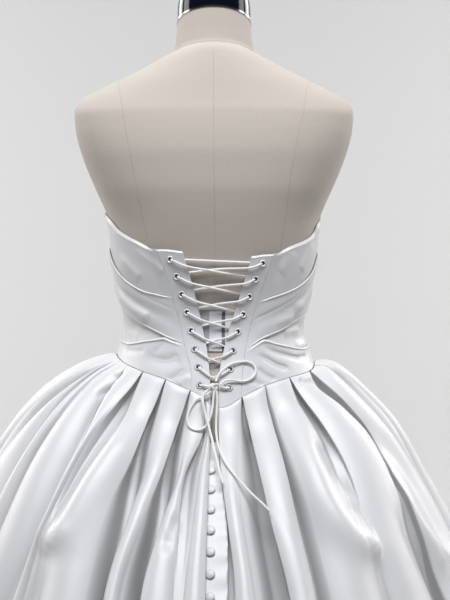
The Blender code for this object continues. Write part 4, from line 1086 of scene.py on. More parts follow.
def edge_shares(rows, tall):
    """Shares of a piece's height: even, with more near its two edges."""
    near = [step / tall for step in EDGE_STEPS]
    middle = [blend(near[-1], 1 - near[-1], i / rows) for i in range(1, rows)]
    return near + middle + [1 - share for share in near[::-1]]


def folded_edge(distance):
    """A folded edge: a soft bead that turns in at the very edge."""
    return sum(rise * exp(-((distance - middle) / width) ** 2)
               for rise, middle, width in (BEAD, TURN))


def turned_edge(distance, tall, deep):
    """The neckline's rolled edge: its face slopes in to the top."""
    if distance < tall:
        return LIP_RISE - (deep + LIP_RISE) * (1 - distance / tall)
    return LIP_RISE * clamp((tall + LIP_TALL - distance) / LIP_TALL)


def bodice_grid(side, low, high, columns, ups, out_at, creases):
    """Outer points of a bodice piece: out_at gives its distance out at a share."""
    grid = []
    for up in ups:
        row = []
        for j in range(columns + 1):
            across = j / columns
            height = MID_HEIGHT
            out = BAND_OUT
            for _ in range(4):
                wrap = panel_wrap(side, across, height, out)
                height = blend(low(table_wrap(wrap)), high(table_wrap(wrap)), up)
            out = out_at(across, up)
            if side != "front":
                edge = clamp((across - 1) / BACK_SHARE + 1)
                out = blend(out, LACING_OUT - LACING_STEP, ease(edge))
            point = body_point(wrap, height, out)
            lift = creases.height(point)
            row.append(body_point(wrap, height, out + lift) if lift else point)
        grid.append(row)
    if side == "right":
        grid = [row[::-1] for row in grid]
    return grid


def make_bodice_piece(name, side, columns, low, high, out_at, creases, rows, tall):
    grid = bodice_grid(side, low, high, columns, edge_shares(rows, tall), out_at, creases)
    made = satin_piece(name, grid, sizes().cloth)
    area = flat_cut(made)
    half = grid[len(grid) // 2]
    width = sum((b - a).length for a, b in zip(half, half[1:]))
    tall = area / width


class GOWN_OT_bodice(Operator):
    """Make the bodice's satin: the base, the draped bands and the basque"""

    bl_idname = "gown.bodice"
    bl_label = "Bodice"

    def execute(self, context):
        place = partial(back_point, out=BAND_OUT)
        kinds = (
            ("bodice_", waist_line, neckline, self.base_out,
             Creases(UPPER_CREASES + BELOW_CREASES, place), 100, BASE_TALL),
            ("drape_band_", band_low, band_high, self.band_out,
             Creases(BAND_CREASES, place), 40, BAND_TALL),
            ("basque_", waist_line, basque_high, self.basque_out,
             Creases(BASQUE_CREASES, place), 34, BASQUE_TALL))
        for side, columns in (("front", 150), ("left", 72), ("right", 72)):
            for name, *shape in kinds:
                back = "back_" if name == "bodice_" and side != "front" else ""
                make_bodice_piece(name + back + side, side, columns, *shape)
        return {"FINISHED"}

    def base_out(self, across, up):
        sink, share = NECK_SINK
        return (BODICE_OUT - sink * ease(clamp((up - 1) / share + 1))
                + turned_edge((1 - up) * BASE_TALL, blend(*ROLL_TALL, across),
                              ROLL_DEEP[0]))

    def band_out(self, across, up):
        return (BAND_OUT + along(ROLL_SHARES, BAND_ROLLS, up) * (1 - BACK_ROLLS * across)
                + folded_edge((1 - up) * BAND_TALL)
                + folded_edge(up * BAND_TALL) * LOWER_BEAD)

    def basque_out(self, _across, up):
        return (BAND_OUT + along((0.0, 0.5, 1.0), BASQUE_ROLLS, up)
                + folded_edge((1 - up) * BASQUE_TALL))


# ---------------------------------------------------------------- the lacing
def lacing_grid(side, out, columns, rows):
    grid = []
    for up in edge_shares(rows, LACING_TALL):
        strip = turned_edge((1 - up) * LACING_TALL, ROLL_TALL[1], ROLL_DEEP[1])
        row = []
        for j in range(columns + 1):
            height = MID_HEIGHT
            for _ in range(6):
                outer = lacing_x(side + "_outer", height)
                x = blend(outer, lacing_x(side + "_inner", height), j / columns)
                wrap = back_wrap(x, height, out)
                height = blend(waist_line(wrap), neckline(wrap), up)
            row.append(back_point(x, height, out + strip))
        grid.append(row)
    return grid if side == "left" else [row[::-1] for row in grid]


def eyelet_place(side, number):
    return Vector(EYELETS[side][number - 1])


def surface_frame(x, height, out):
    """A matrix with its Z axis out of the cloth at a place on the back."""
    step = 0.004  # about an eyelet's radius, so that it lies flat on the cloth
    across = back_point(x + step, height, out) - back_point(x - step, height, out)
    up = back_point(x, height + step, out) - back_point(x, height - step, out)
    normal = up.cross(across).normalized()
    if normal.y < 0:
        normal.negate()
    side = across.normalized()
    made = Matrix((side, normal.cross(side), normal)).transposed().to_4x4()
    made.translation = back_point(x, height, out)
    return made


def round_hole(made, places, radius):
    """Cut round holes through a piece."""
    cutters = []
    for place in places:
        deselect()
        bpy.ops.mesh.primitive_cylinder_add(vertices=24, radius=radius, depth=HOLE_DEPTH)
        bpy.context.object.data.transform(place)
        cutters.append(bpy.context.object)
    deselect()
    for cutter in cutters:
        cutter.select_set(True)
    bpy.context.view_layer.objects.active = cutters[0]
    bpy.ops.object.join()
    cutter = bpy.context.object
    cut = made.modifiers.new("holes", "BOOLEAN")
    cut.object = cutter
    cut.solver = "EXACT"
    apply_modifiers(made)
    bpy.data.objects.remove(cutter)


def spun(name, profile, steps, material, place):
    """A turned piece: a profile of radii and heights spun about its axis."""
    mesh = bpy.data.meshes.new(name)
    mesh.from_pydata([(radius, 0, height) for radius, height in profile],
                     [(i, i + 1) for i in range(len(profile) - 1)], [])
    made = add_object(name, mesh, material)
    make_active(made)
    bpy.ops.object.mode_set(mode="EDIT")
    bpy.ops.mesh.select_all(action="SELECT")
    bpy.ops.mesh.spin(steps=steps, angle=2 * pi, center=(0, 0, 0), axis=(0, 0, 1))
    bpy.ops.mesh.select_all(action="SELECT")
    bpy.ops.mesh.remove_doubles(threshold=0.00002)
    bpy.ops.mesh.normals_make_consistent(inside=False)
    bpy.ops.object.mode_set(mode="OBJECT")
    made.data.transform(place)
    shade_round(made, SMOOTH_CLOTH)
    return made


class GOWN_OT_lacing_panels(Operator):
    """Make the two lacing panels and their set eyelets"""

    bl_idname = "gown.lacing_panels"
    bl_label = "Lacing panels"

    def execute(self, context):
        for side in ("left", "right"):
            grid = lacing_grid(side, LACING_OUT, 16, 90)
            name = "lacing_panel_" + side
            made = satin_piece(name, grid, LACING_CLOTH, PANEL_EDGE)
            places = [surface_frame(*place, LACING_OUT) for place in EYELETS[side]]
            round_hole(made, places, sizes().eyelet_hole + HOLE_CLEAR)
            shade_round(made, SMOOTH_CLOTH)
            round(flat_cut(made), 4)
            for number, place in enumerate(places, 1):
                self.make_eyelet(side, number, place)
        return {"FINISHED"}

    def make_eyelet(self, side, number, place):
        """A rolled ring with its tube, a dark disc of painted shade across the tube,
        and a grey ring of painted shadow round it.
        """
        hole, rim = sizes().eyelet_hole, sizes().eyelet_rim
        middle = (hole + rim) / 2
        profile = ((hole, -0.0030), (hole, 0.0004), (hole + 0.0003, 0.0013),
                   (middle, 0.0019), (rim - 0.0006, 0.0014), (rim, 0.0004),
                   (rim - 0.0002, 0.0), (hole + 0.0005, 0.0), (hole + 0.0005, -0.0030),
                   (hole, -0.0030))
        # Painted shade: a near-black disc across the tube, so that the hole looks dark.
        shade_disc_profile = ((0.0, -0.0014), (hole - 0.0001, -0.0014), (hole - 0.0001, -0.0018),
                 (0.0, -0.0018))
        # Painted shadow: a thin grey ring round the eyelet's rim.
        shadow_ring_profile = ((rim - 0.0002, 0.00012), (rim + 0.00045, 0.00012),
                  (rim + 0.00045, -0.0002), (rim - 0.0002, -0.0002),
                  (rim - 0.0002, 0.00012))
        name = "eyelet_%s_%d" % (side, number)
        for part, line, steps, finish, *node in (
                ("_ring", profile, 28, white_enamel(), name),
                ("_shade", shade_disc_profile, 16, eyelet_shade()),
                ("_press", shadow_ring_profile, 24, pressed_satin())):
            belongs(spun(name + part, line, steps, finish, place), "eyelet_enamel", *node)


class GOWN_OT_waist_stay(Operator):
    """Make the waist stay that shows between the lacing panels"""

    bl_idname = "gown.waist_stay"
    bl_label = "Waist stay"

    def execute(self, context):
        columns, rows = STAY_GRID
        grid = [[body_point(blend(*STAY_WRAPS, j / columns),
                            blend(*STAY_HEIGHTS, i / rows),
                            STAY_OUT + STAY_RIPPLE * sin(j / columns * 40))
                 for j in range(columns + 1)] for i in range(rows + 1)]
        # Painted shade: the stay's left part is drawn in the greyer tape colour.
        tape = woven_tape("grey_tape", colours().tape)
        ribbon = woven_tape("white_ribbon", colours().ribbon)
        hooks = woven_tape("hook_tape", colours().hooks)

        def column_slot(j):
            x = (grid[rows // 2][j].x + grid[rows // 2][j + 1].x) / 2
            if x > PAINTED_SHADE_FROM_X:
                return 0
            return 2 if HOOKS_X[0] < x < HOOKS_X[1] else 1

        made = cloth_piece("waist_stay_ribbon", grid, STAY_CLOTH, [tape, ribbon, hooks],
                           "stay_tape", "waist_stay", column_slot=column_slot)
        return {"FINISHED"}


# ---------------------------------------------------------------- laces
CUT_END = 0.55             # of a lace's radius is left where its end is sealed


def lace(name, points, node, taper=False):
    """A round satin lace along a smooth curve through the points."""
    path = smooth_line(points, 5)
    made = cord_object(name, [path], sizes().lace_radius, satin_cord())
    made.data.use_fill_caps = True
    if taper:
        made.data.splines[0].points[-1].radius = CUT_END
    belongs(made, "satin_cord", node)
    return made, sum((b - a).length for a, b in zip(path, path[1:]))


def lace_run(side, number):
    """Route of a lace from an eyelet across the gap to the next one below it."""
    other = OTHER[side]
    start, end = eyelet_place(side, number), eyelet_place(other, number + 1)
    way = (end - start).normalized()
    length = (end - start).length

    def at_distance(distance, out, drop=0.0):
        place = start + way * distance
        return (place.x, place.y - drop * length / LACE_LONG, out)

    def edge_distance(column):
        distance = length / 2
        for _ in range(6):
            height = (start + way * distance).y
            distance = (lacing_x(column, height) - start.x) / way.x
        return distance

    near, far = edge_distance(side + "_inner"), edge_distance(other + "_inner")
    drops = LACE_DROPS[side]
    route = [(start.x + way.x * 0.0012, start.y - 0.0003, LACE_THROUGH),
             *(at_distance(*place) for place in LACE_START),
             at_distance(near + EDGE_PAST, LACE_ON + EDGE_PAST, drops[0]),
             at_distance(length / 2, CROSSING[side], drops[1]),
             at_distance(far + EDGE_PAST, LACE_UNDER, drops[2])]
    if length - far > LONG_REACH:
        route.append(at_distance(length - LONG_REACH / 2, LACE_UNDER))
    route.append(at_distance(length - LACE_TURN, LACE_TURN_OUT))
    return route


def lacing_route():
    """One lace through all the eyelets, from the knot and back to it."""
    def chain(side):
        route = []
        for number in range(1, EYELET_PAIRS):
            route += lace_run(side, number)
            side = OTHER[side]
        last = eyelet_place(side, EYELET_PAIRS)
        reach = KNOT_REACH + sizes().lace_radius
        knot_x = KNOT.x + copysign(reach, last.x - KNOT.x)
        lean = copysign(1.0, KNOT.x - last.x)
        route += [(last.x, last.y, LACE_THROUGH),
                  (last.x + lean * LACE_RISE, last.y, LACE_ON),
                  (last.x + lean * LACE_CREST, last.y - 0.0004, LACE_OVER),
                  (knot_x, KNOT.height, LACE_OVER + 0.0008)]
        return route

    left, right = eyelet_place("left", 1), eyelet_place("right", 1)
    bar = [(*left.lerp(right, share), LACE_UNDER) for share in BAR_SHARES]
    route = [*chain("left")[::-1], (left.x - LACE_TURN, left.y, LACE_TURN_OUT), *bar,
             (right.x + LACE_TURN, right.y, LACE_TURN_OUT), *chain("right")]
    return [back_point(x, height, out) for x, height, out in route]


def cloth_point(x, height, lift):
    """A point lifted off the gown's back: the lacing panels or the skirt."""
    bodice = back_point(x, height, LACING_OUT + lift)
    row = skirt_row(x, height)
    if row is None:
        return bodice
    wrap = skirt_wrap(x, row)
    stands = lift + along(FRONT_ROWS, PLEATS_STAND, row)
    skirt = skirt_base(wrap, row) + skirt_normal(wrap, row) * stands
    return skirt if skirt.y > bodice.y else bodice


class GOWN_OT_lacing(Operator):
    """Make the lace, its knot, the two loops of the bow and the two free ends"""

    bl_idname = "gown.lacing"
    bl_label = "Lacing and bow"

    def execute(self, context):
        lace("lacing_lace", lacing_route(), "lacing_cord")
        knot = self.make_knot()
        for name, route, far_end in (
                ("bow_loop_right", LOOP_RIGHT, "object"),
                ("bow_loop_left", LOOP_LEFT, "object"),
                ("lace_end_long", END_LONG, "bare"),
                ("lace_end_short", END_SHORT, "bare")):
            points = [cloth_point(*place) for place in route]
            made, long = lace(name + "_lace", points, name, taper=far_end == "bare")
            tuple(points[0])
        return {"FINISHED"}

    def make_knot(self):
        """A small pulled-tight knot of the same lace."""
        centre = back_point(KNOT.x, KNOT.height, LACING_OUT + KNOT.lift - 0.0006)
        wide, tall = KNOT_SIZE
        turns = [2 * pi * i / 60 for i in range(60)]
        path = [centre + Vector((wide * (sin(turn) + 2 * sin(2 * turn)),
                                 tall * sin(3 * turn),
                                 tall * (cos(turn) - 2 * cos(2 * turn))))
                for turn in turns]
        made = cord_object("bow_knot_lace", [path], sizes().lace_radius, satin_cord())
        made.data.splines[0].use_cyclic_u = True
        return belongs(made, "satin_cord", "bow_knot")


# ---------------------------------------------------------------- the skirt
@lru_cache(None)
def ring_point(index, wrap):
    """A point of the skirt's smooth ring with no pleats; ring 0 is the waist seam."""
    if index == 0:
        height = edge_height(WAIST_SEAM, table_wrap(wrap)) - SEAM_GAP / 2
        return body_point(wrap, height, SKIRT_OUT)
    ring = SKIRT_RINGS[index - 1]
    turn = radians(wrap)
    across, deep = cos(turn), sin(turn)
    width = ring.left if across >= 0 else ring.right
    depth = ring.back if deep >= 0 else ring.front
    return Vector((width * power(across, 2 / ring.roundness),
                   depth * power(deep, 2 / ring.roundness),
                   blend(ring.side, ring.middle, deep * deep)))


def skirt_base(wrap, row):
    """A point of the smooth skirt with no pleats."""
    low = min(int(row), HEM_ROW - 1)
    before, here, there, after = (ring_point(min(max(low + step, 0), HEM_ROW), wrap)
                                  for step in (-1, 0, 1, 2))
    return smooth_value(before, here, there, after, row - low)


def skirt_normal(wrap, row):
    """The way out of the smooth skirt, turned level towards the hem."""
    low, high = max(row - 0.1, 0.0), min(row + 0.1, float(HEM_ROW))
    across = skirt_base(wrap + 0.5, row) - skirt_base(wrap - 0.5, row)
    down = skirt_base(wrap, high) - skirt_base(wrap, low)
    normal = down.cross(across).normalized()
    normal.z *= min((HEM_ROW - row) / LEVEL_ROWS, 1.0)
    return normal.normalized()


class RowSurface:
    """The smooth skirt along one row, read quickly at any wrap."""

    step = 0.5

    def __init__(self, row, start, end):
        self.first = int(start / self.step) - 8
        last = int(end / self.step) + 10
        wraps = [k * self.step for k in range(self.first, last)]
        self.places = [skirt_base(wrap, row) for wrap in wraps]
        self.normals = [skirt_normal(wrap, row) for wrap in wraps]

    def read(self, wrap):
        at = wrap / self.step - self.first
        low = int(at)
        share = at - low
        place = self.places[low].lerp(self.places[low + 1], share)
        return place, self.normals[low].lerp(self.normals[low + 1], share)


def bisect(low, high, goes_on):
    """The place between two where a test that holds at the low one stops holding."""
    for _ in range(40):
        middle = (low + high) / 2
        if goes_on(middle):
            low = middle
        else:
            high = middle
    return (low + high) / 2


def skirt_wrap(x, row):
    """The wrap on the back at a distance from centre back, along a row."""
    return bisect(0.0, 180.0, lambda wrap: skirt_base(wrap, row).x > x)


def skirt_row(x, height):
    """The row at a height on the back, or none above the waist seam."""
    if skirt_base(skirt_wrap(x, 0.0), 0.0).z <= height:
        return None
    return bisect(0.0, float(HEM_ROW),
                  lambda row: skirt_base(skirt_wrap(x, row), row).z > height)


def front_fold(fold):
    """The front's fold as lips, depths and leans at the same rows as the back's."""
    left, right, depths = [], [], []
    for row in FOLD_ROWS:
        middle = along(FRONT_ROWS, fold.wraps, row)
        half = along(FRONT_ROWS, FRONT_WIDTHS, row) / 2
        left.append(middle - half)
        right.append(middle + half)
        depths.append(along(FRONT_ROWS, FRONT_DEPTHS, row) * fold.depth)
    return Fold(left, right, depths, [fold.lean] * len(FOLD_ROWS))


# Shares of a panel's width and of a fold's wall where the cloth's line has a corner.
PANEL_SHARES = (0.05, 0.18, 0.38, 0.62, 0.82, 0.95)
WALL_SHARES = (0.3, 0.6, 0.85)
WALL_WIDTH = 0.22          # of a fold's width, taken by each of its walls
WALL_BEND = 1.4            # how strongly a level wall turns from its lip to its floor
FLOOR_SAG = 1.05           # depth of a floor's middle, by that of its sides
# Rows of the fine mesh: up to a row, the step from each to the next.
ROW_STEPS = ((0.5, 0.04), (1.5, 0.07), (4.5, 0.115), (HEM_ROW, 0.2))


def skirt_profile(row, start, end, folds):
    """Wraps and heights off the smooth skirt along a row, as a line of corners."""
    bulge = along(BULGE_ROWS, PANEL_BULGE, row)

    def panel(low, high):
        for share in PANEL_SHARES:
            rise = 1 - (1 - low[1]) * (1 - share) ** 3 - (1 - high[1]) * share ** 3
            sunk = low[2] * (1 - share) ** 2 + high[2] * share ** 2
            yield (blend(low[0], high[0], share), bulge * rise - sunk)

    def wall(lip, floor, bend):
        return [(blend(lip[0], floor[0], share), blend(lip[1], floor[1], share ** bend))
                for share in WALL_SHARES]

    profile = [(start[0], bulge * start[1])]
    last = (*start, 0.0)
    for fold in folds:
        left, right, depth, lean, drop = (along(FOLD_ROWS, values, row) for values in fold)
        depth += abs(drop)
        width = right - left
        shift = lean * width
        low = (left + WALL_WIDTH * width + shift, -depth)
        high = (right - WALL_WIDTH * width + shift, -depth)
        left_lip, right_lip = (left, -max(drop, 0.0)), (right, -max(-drop, 0.0))
        profile += panel(last, (left, 0.0, max(drop, 0.0)))
        profile += [left_lip, *wall(left_lip, low, WALL_BEND + lean), low,
                    ((low[0] + high[0]) / 2, -FLOOR_SAG * depth), high,
                    *wall(right_lip, high, WALL_BEND - lean)[::-1], right_lip]
        last = (right, 0.0, max(-drop, 0.0))
    profile += panel(last, (*end, 0.0))
    return profile + [(end[0], bulge * end[1])]


def round_corners(line, times):
    """Cut a line's corners, its ends kept."""
    for _ in range(times):
        cut = [(blend(a[0], b[0], share), blend(a[1], b[1], share))
               for a, b in zip(line, line[1:]) for share in (0.25, 0.75)]
        line = [line[0], *cut, line[-1]]
    return line


def skirt_rows():
    """Rows of the fine mesh, closer together near the waist."""
    rows, row = [0.0], 0.0
    while row < HEM_ROW:
        row += next(step for end, step in ROW_STEPS if row < end)
        rows.append(min(row, float(HEM_ROW)))
    return rows


def opening_x(column, row):
    return along_table(OPENING, "row", column, row)


def clear_of_form(place, normal, height):
    """A point off the smooth skirt, kept outside the form by the cloth's thickness."""
    point = place + normal * height
    while height < 0 and point.z > BODY_SECTIONS[0].height:
        section = body_section(point.z)
        depth = section.back if point.y > 0 else section.front
        inside = ((abs(point.x) / (section.half_width + FORM_CLEAR)) ** section.roundness
                  + (abs(point.y) / (depth + FORM_CLEAR)) ** section.roundness)
        if inside > 1:
            break
        height += CLEAR_STEP
        point = place + normal * height
    return point


class GOWN_OT_skirt(Operator):
    """Make the pleated skirt: a front and two backs"""

    bl_idname = "gown.skirt"
    bl_label = "Skirt"

    def execute(self, context):
        def side_seam(wrap, way):
            def place(row):
                gap = degrees(SEAM_GAP / 2 / abs(skirt_base(wrap, row).x))
                return (wrap + way * gap, 1.0)
            return place

        def opening_edge(column):
            def place(row):
                rise = clamp(row - CLOSED_ROW + 1)
                return (skirt_wrap(opening_x(column, row), row), rise)
            return place

        front = [front_fold(fold) for fold in FRONT_FOLDS]
        for name, start, end, folds, creases, flat in (
                ("skirt_back_left", side_seam(0.0, 1), opening_edge("left_edge"),
                 BACK_LEFT_FOLDS, LEFT_CREASES, (1.75, 1.26)),
                ("skirt_back_right", opening_edge("right_edge"), side_seam(180.0, -1),
                 BACK_RIGHT_FOLDS, RIGHT_CREASES, (1.75, 1.26)),
                ("skirt_front", side_seam(180.0, 1), side_seam(360.0, -1), front,
                 FRONT_CREASES, (3.40, 1.26))):
            self.make_panel(name, start, end, folds, Creases(creases, skirt_base), flat)
        return {"FINISHED"}

    def make_panel(self, name, start, end, folds, creases, flat):
        grid = []
        for row in skirt_rows():
            first, last = start(row), end(row)
            surface = RowSurface(row, first[0], last[0])
            line = []
            profile = skirt_profile(row, first, last, folds)
            for wrap, height in round_corners(profile, 1 if name == "skirt_front" else 2):
                place, normal = surface.read(wrap)
                height += creases.height(place)
                line.append(clear_of_form(place, normal, height))
            grid.append(line)
        made = satin_piece(name, grid[::-1], sizes().cloth, SKIRT_EDGE)
        area = flat_cut(made)


class GOWN_OT_placket(Operator):
    """Make the strip under the back opening and its covered buttons"""

    bl_idname = "gown.placket"
    bl_label = "Button placket"

    def execute(self, context):
        grid = []
        columns, steps = PLACKET_GRID
        low, more, dying, turn = PLACKET_WAVE
        start, growing = UNDERLAP_ROWS
        for i in range(steps + 1):
            row = blend(*PLACKET_ROWS, i / steps)
            edge = opening_x("strip_edge", row)
            wave = (low + more * max(0.0, 1 - i / dying)) * sin(i * turn)
            reach = UNDERLAP_REACH * clamp((row - start) / growing)
            places = [(blend(PLACKET_LEFT_X, edge, j / columns), -wave * j / columns)
                      for j in range(columns + 1)]
            places += [(edge - UNDERLAP_START - reach * share, deeper)
                       for share, deeper in UNDERLAP]
            grid.append([self.strip_point(x, row, PLACKET_DEPTH + deeper)
                         for x, deeper in places])
        made = satin_piece("button_placket", grid[::-1], sizes().cloth, SKIRT_EDGE)
        round(flat_cut(made), 4)
        row = skirt_row(BUTTON_X, FIRST_BUTTON_HEIGHT)
        for number in range(1, sizes().buttons + 1):
            self.make_button(number, row)
            row = self.row_below(row)
        return {"FINISHED"}

    def strip_point(self, x, row, depth):
        wrap = skirt_wrap(x, row)
        return clear_of_form(skirt_base(wrap, row), skirt_normal(wrap, row), -depth)

    def row_below(self, row):
        start = skirt_base(90.0, row)
        return bisect(row, min(row + 2.0, float(HEM_ROW)), lambda lower:
                      (skirt_base(90.0, lower) - start).length < BUTTON_PITCH)

    def make_button(self, number, row):
        """A dome of satin drawn over a mould, with a tucked rim."""
        wrap = skirt_wrap(BUTTON_X, row)
        normal = skirt_normal(wrap, row)
        place = skirt_base(wrap, row) - normal * (PLACKET_DEPTH - BUTTON_RAISE)
        turn = normal.to_track_quat("Z", "Y").to_matrix().to_4x4()
        turn @= Matrix.Rotation(BUTTON_TIP, 4, "Y")
        radius, height = sizes().button_radius, sizes().button_height
        profile = [(radius * sin(k * pi / 16),
                    height * blend(DOME_FOOT, 1.0, cos(k * pi / 16))) for k in range(9)]
        profile += [(radius * 0.93, height * 0.12), (radius * 0.7, 0.0), (0.0, 0.0)]
        name = "button_%d" % number
        belongs(spun(name + "_cover", profile, 24, duchess_satin(),
                     Matrix.Translation(place) @ turn), "satin", name)


# ---------------------------------------------------------------- the form
def densely(sections, steps):
    """More sections between a table's, along smooth curves."""
    return [Section(*values)
            for values in smooth_line([Vector(section) for section in sections], steps)]


def form_shell(name, sections, columns, material):
    """A closed solid through rings, its ends filled."""
    form = bmesh.new()
    rings = [[form.verts.new(section_point(section, 360 * j / columns))
              for j in range(columns)] for section in sections]
    for low, high in zip(rings, rings[1:]):
        for j in range(columns):
            k = (j + 1) % columns
            form.faces.new((low[j], low[k], high[k], high[j]))
    form.faces.new(rings[0][::-1])
    form.faces.new(rings[-1])
    made = mesh_object(name, form, material)
    shade_round(made, SMOOTH_FORM)
    return made


def form_point(x, height):
    """A point on the form's back at a distance from the middle."""
    if height <= BODY_SECTIONS[-1].height:
        return back_point(x, height, 0.0)
    points = [section_point(section, section_wrap(section, x, 0.0))
              for section in shoulder_rings()]
    return min(points, key=lambda point: abs(point.z - height))


@lru_cache(None)
def shoulder_rings():
    return densely(BODY_SECTIONS[-2:] + SHOULDER_SECTIONS, 24)


class GOWN_OT_form(Operator):
    """Make the linen form, its seams, its cap and trim, and finish its stand"""

    bl_idname = "gown.form"
    bl_label = "Dress form"

    def execute(self, context):
        low, high = BODY_SECTIONS[0].height, BODY_SECTIONS[-1].height
        body = [body_section(blend(low, high, k / BODY_RINGS)) for k in range(BODY_RINGS)]
        shoulders = densely(BODY_SECTIONS[-2:] + SHOULDER_SECTIONS, 5)[5:]
        torso = form_shell("form_torso_cover", body + shoulders, BODY_COLUMNS,
                           linen_cover())
        belongs(torso, "form_linen", "form_torso")
        cap = form_shell("form_cap_lacquered", densely(CAP_SECTIONS, 6), CAP_COLUMNS,
                         navy_lacquer())
        belongs(cap, "cap_lacquer", "form_neck_cap")
        self.make_trim()
        self.make_seams()
        for node in ("form_pole", "form_base"):
            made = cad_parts[node]
            made.data.materials.clear()
            made.data.materials.append(stand_paint())
        return {"FINISHED"}

    def make_trim(self):
        """A thin bright band where the cap meets the neck."""
        foot = CAP_SECTIONS[0]
        bands = [foot._replace(height=foot.height + up, half_width=foot.half_width + out,
                               back=foot.back + out, front=foot.front + out)
                 for up, out in TRIM_EDGES]
        made = form_shell("form_cap_trim", bands, CAP_COLUMNS, polished_trim())
        belongs(made, "cap_lacquer")

    def make_seams(self):
        """Ridges along the form's centre back, princess and neck seams."""
        lines = []
        for seam in FORM_SEAMS:
            line = []
            for (x, z), (next_x, next_z) in zip(seam, seam[1:]):
                steps = max(int(abs(next_z - z) / SEAM_STEP), 3)
                line += [form_point(blend(x, next_x, k / steps), blend(z, next_z, k / steps))
                         for k in range(steps)]
            lines.append(line)
        lines.append([section_point(NECK_SEAM, wrap, NECK_SEAM_OUT)
                      for wrap in range(0, 361, 5)])
        made = cord_object("form_seams", lines, sizes().seam_thread, seam_thread(), 1)
        make_active(made)
        bpy.ops.object.convert(target="MESH")
        belongs(bpy.context.object, "form_linen")


# ---------------------------------------------------------------- the stage
CAMERA_PLACE = (-0.0143, 2.4, 1.15)
SENSOR = 24                # its height in mm
FOCAL = 73.84              # mm

SHEET_XS = (4.5, 1.5, -1.5, -4.5)
FLOOR_ENDS = (4.0, -1.6)   # behind the camera, and where the backdrop sweeps up
SWEEP_RADIUS = 0.8
WALL_TOP = 4.5

COOL = (0.955, 0.968, 1.0)
NEUTRAL = (1.0, 0.992, 0.985)
# Name, place, what it points at, its width and height, its watts, its colour.
STUDIO_LIGHTS = (
    ("key", (0.0, 1.15, 3.0), (0.0, 0.2, 0.9), (1.8, 1.0), 55.0, COOL),
    ("left_box", (2.6, -0.1, 1.8), (0.0, 0.0, 1.05), (1.0, 1.8), 16.5, NEUTRAL),
    ("right_box", (-2.6, -0.1, 1.8), (0.0, 0.0, 1.05), (1.0, 1.8), 13.5, NEUTRAL),
    ("left_rim", (1.9, -1.3, 2.3), (0.0, 0.0, 1.05), (1.0, 1.4), 21.0, NEUTRAL),
    ("right_rim", (-1.9, -1.3, 2.3), (0.0, 0.0, 1.05), (1.0, 1.4), 21.0, NEUTRAL),
    ("wall_left", (1.9, -1.4, 1.4), (0.4, -2.4, 1.3), (0.5, 2.6), 15.5, NEUTRAL),
    ("wall_right", (-1.9, -1.4, 1.4), (-0.4, -2.4, 1.3), (0.5, 2.6), 15.5, NEUTRAL),
)
WORLD_COLOUR = (1.0, 0.98, 0.96)
WORLD_STRENGTH = 0.02
WALL_COLOUR = (*linear("D8D8D8"), 1)


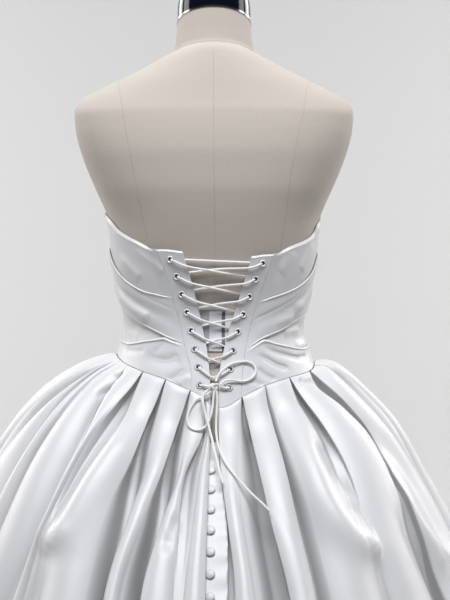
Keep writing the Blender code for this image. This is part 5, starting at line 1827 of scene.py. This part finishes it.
class GOWN_OT_stage(Operator):
    """Set the floor, the backdrop, the studio lights and the camera"""

    bl_idname = "gown.stage"
    bl_label = "Stage"

    def execute(self, context):
        self.make_paper()
        for light in STUDIO_LIGHTS:
            self.make_light(*light)
        context.scene.world = self.make_world()
        camera = bpy.data.cameras.new("photo_camera")
        camera.sensor_fit = "VERTICAL"
        camera.sensor_height = SENSOR
        camera.lens = FOCAL
        made = add_object("photo_camera", camera)
        made.location = CAMERA_PLACE
        made.rotation_euler = (pi / 2, 0, pi)
        context.scene.camera = made
        context.scene.view_settings.view_transform = "Standard"
        return {"FINISHED"}

    def make_world(self):
        """A dim room for the light, and pale walls for the eye beyond the paper."""
        world = bpy.data.worlds.new("studio")
        world.use_nodes = True
        tree = world.node_tree
        room = tree.nodes["Background"]
        room.inputs["Color"].default_value = (*WORLD_COLOUR, 1)
        room.inputs["Strength"].default_value = WORLD_STRENGTH
        walls = add_node(tree, "ShaderNodeBackground", {"Color": WALL_COLOUR})
        seen = add_node(tree, "ShaderNodeLightPath")
        both = add_node(tree, "ShaderNodeMixShader", {},
                        {0: seen.outputs["Is Camera Ray"], 1: room.outputs["Background"],
                         2: walls.outputs["Background"]})
        tree.links.new(both.outputs["Shader"], tree.nodes["World Output"].inputs["Surface"])
        return world

    def make_paper(self):
        """A sheet of paper on the floor, and a paler one that sweeps up from it."""
        sweep = [(FLOOR_ENDS[1] - SWEEP_RADIUS * sin(k * pi / 24),
                  SWEEP_RADIUS - SWEEP_RADIUS * cos(k * pi / 24)) for k in range(13)]
        self.make_sheet("studio_floor", [(end, 0.0) for end in FLOOR_ENDS],
                        colours().floor)
        self.make_sheet("studio_backdrop", sweep + [(sweep[-1][0], WALL_TOP)],
                        colours().stage)

    def make_sheet(self, name, profile, colour):
        grid = [[Vector((x, y, z)) for x in SHEET_XS] for y, z in profile]
        made = grid_mesh(name, grid, [studio_paper(name + "_paper", tuple(colour))])
        for face in made.data.polygons:
            face.use_smooth = True
        made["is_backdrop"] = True

    def make_light(self, name, place, aim, size, power_w, colour):
        lamp = bpy.data.lights.new(name, "AREA")
        lamp.shape = "RECTANGLE"
        lamp.size, lamp.size_y = size
        lamp.energy = power_w
        lamp.color = colour
        made = add_object(name, lamp)
        made.location = place
        way = Vector(aim) - Vector(place)
        made.rotation_euler = way.to_track_quat("-Z", "Y").to_euler()


# ---------------------------------------------------------------- the panel
OPERATORS = (GOWN_OT_stage, GOWN_OT_lacing, GOWN_OT_form, GOWN_OT_bodice,
             GOWN_OT_lacing_panels, GOWN_OT_waist_stay, GOWN_OT_skirt, GOWN_OT_placket)


class GOWN_PT_sidebar(Panel):
    """The gown's settings and its makers."""

    bl_idname = "GOWN_PT_sidebar"
    bl_label = "Ball gown"
    bl_space_type = "VIEW_3D"
    bl_region_type = "UI"
    bl_category = "Gown"

    def draw(self, context):
        for group in (context.scene.gown_sizes, context.scene.gown_colours):
            box = self.layout.box()
            for key in group.bl_rna.properties.keys():
                if key not in ("rna_type", "name"):
                    box.prop(group, key)
        for operator in OPERATORS:
            self.layout.operator(operator.bl_idname)


CLASSES = (GownSizes, GownColours, *OPERATORS, GOWN_PT_sidebar)


def register():
    for item in CLASSES:
        bpy.utils.register_class(item)
    bpy.types.Scene.gown_sizes = PointerProperty(type=GownSizes)
    bpy.types.Scene.gown_colours = PointerProperty(type=GownColours)


def unregister():
    del bpy.types.Scene.gown_colours
    del bpy.types.Scene.gown_sizes
    for item in reversed(CLASSES):
        bpy.utils.unregister_class(item)


def corners(bounds):
    return [list(corner) for corner in bounds]


def main():
    register()
    before = corners(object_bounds())
    bpy.ops.gown.stage()
    bpy.ops.gown.lacing()
    bpy.ops.gown.form()
    bpy.ops.gown.bodice()
    bpy.ops.gown.lacing_panels()
    bpy.ops.gown.waist_stay()
    bpy.ops.gown.skirt()
    bpy.ops.gown.placket()
    {"cad": before, "scene": corners(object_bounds())}


if __name__ == "__main__":
    main()
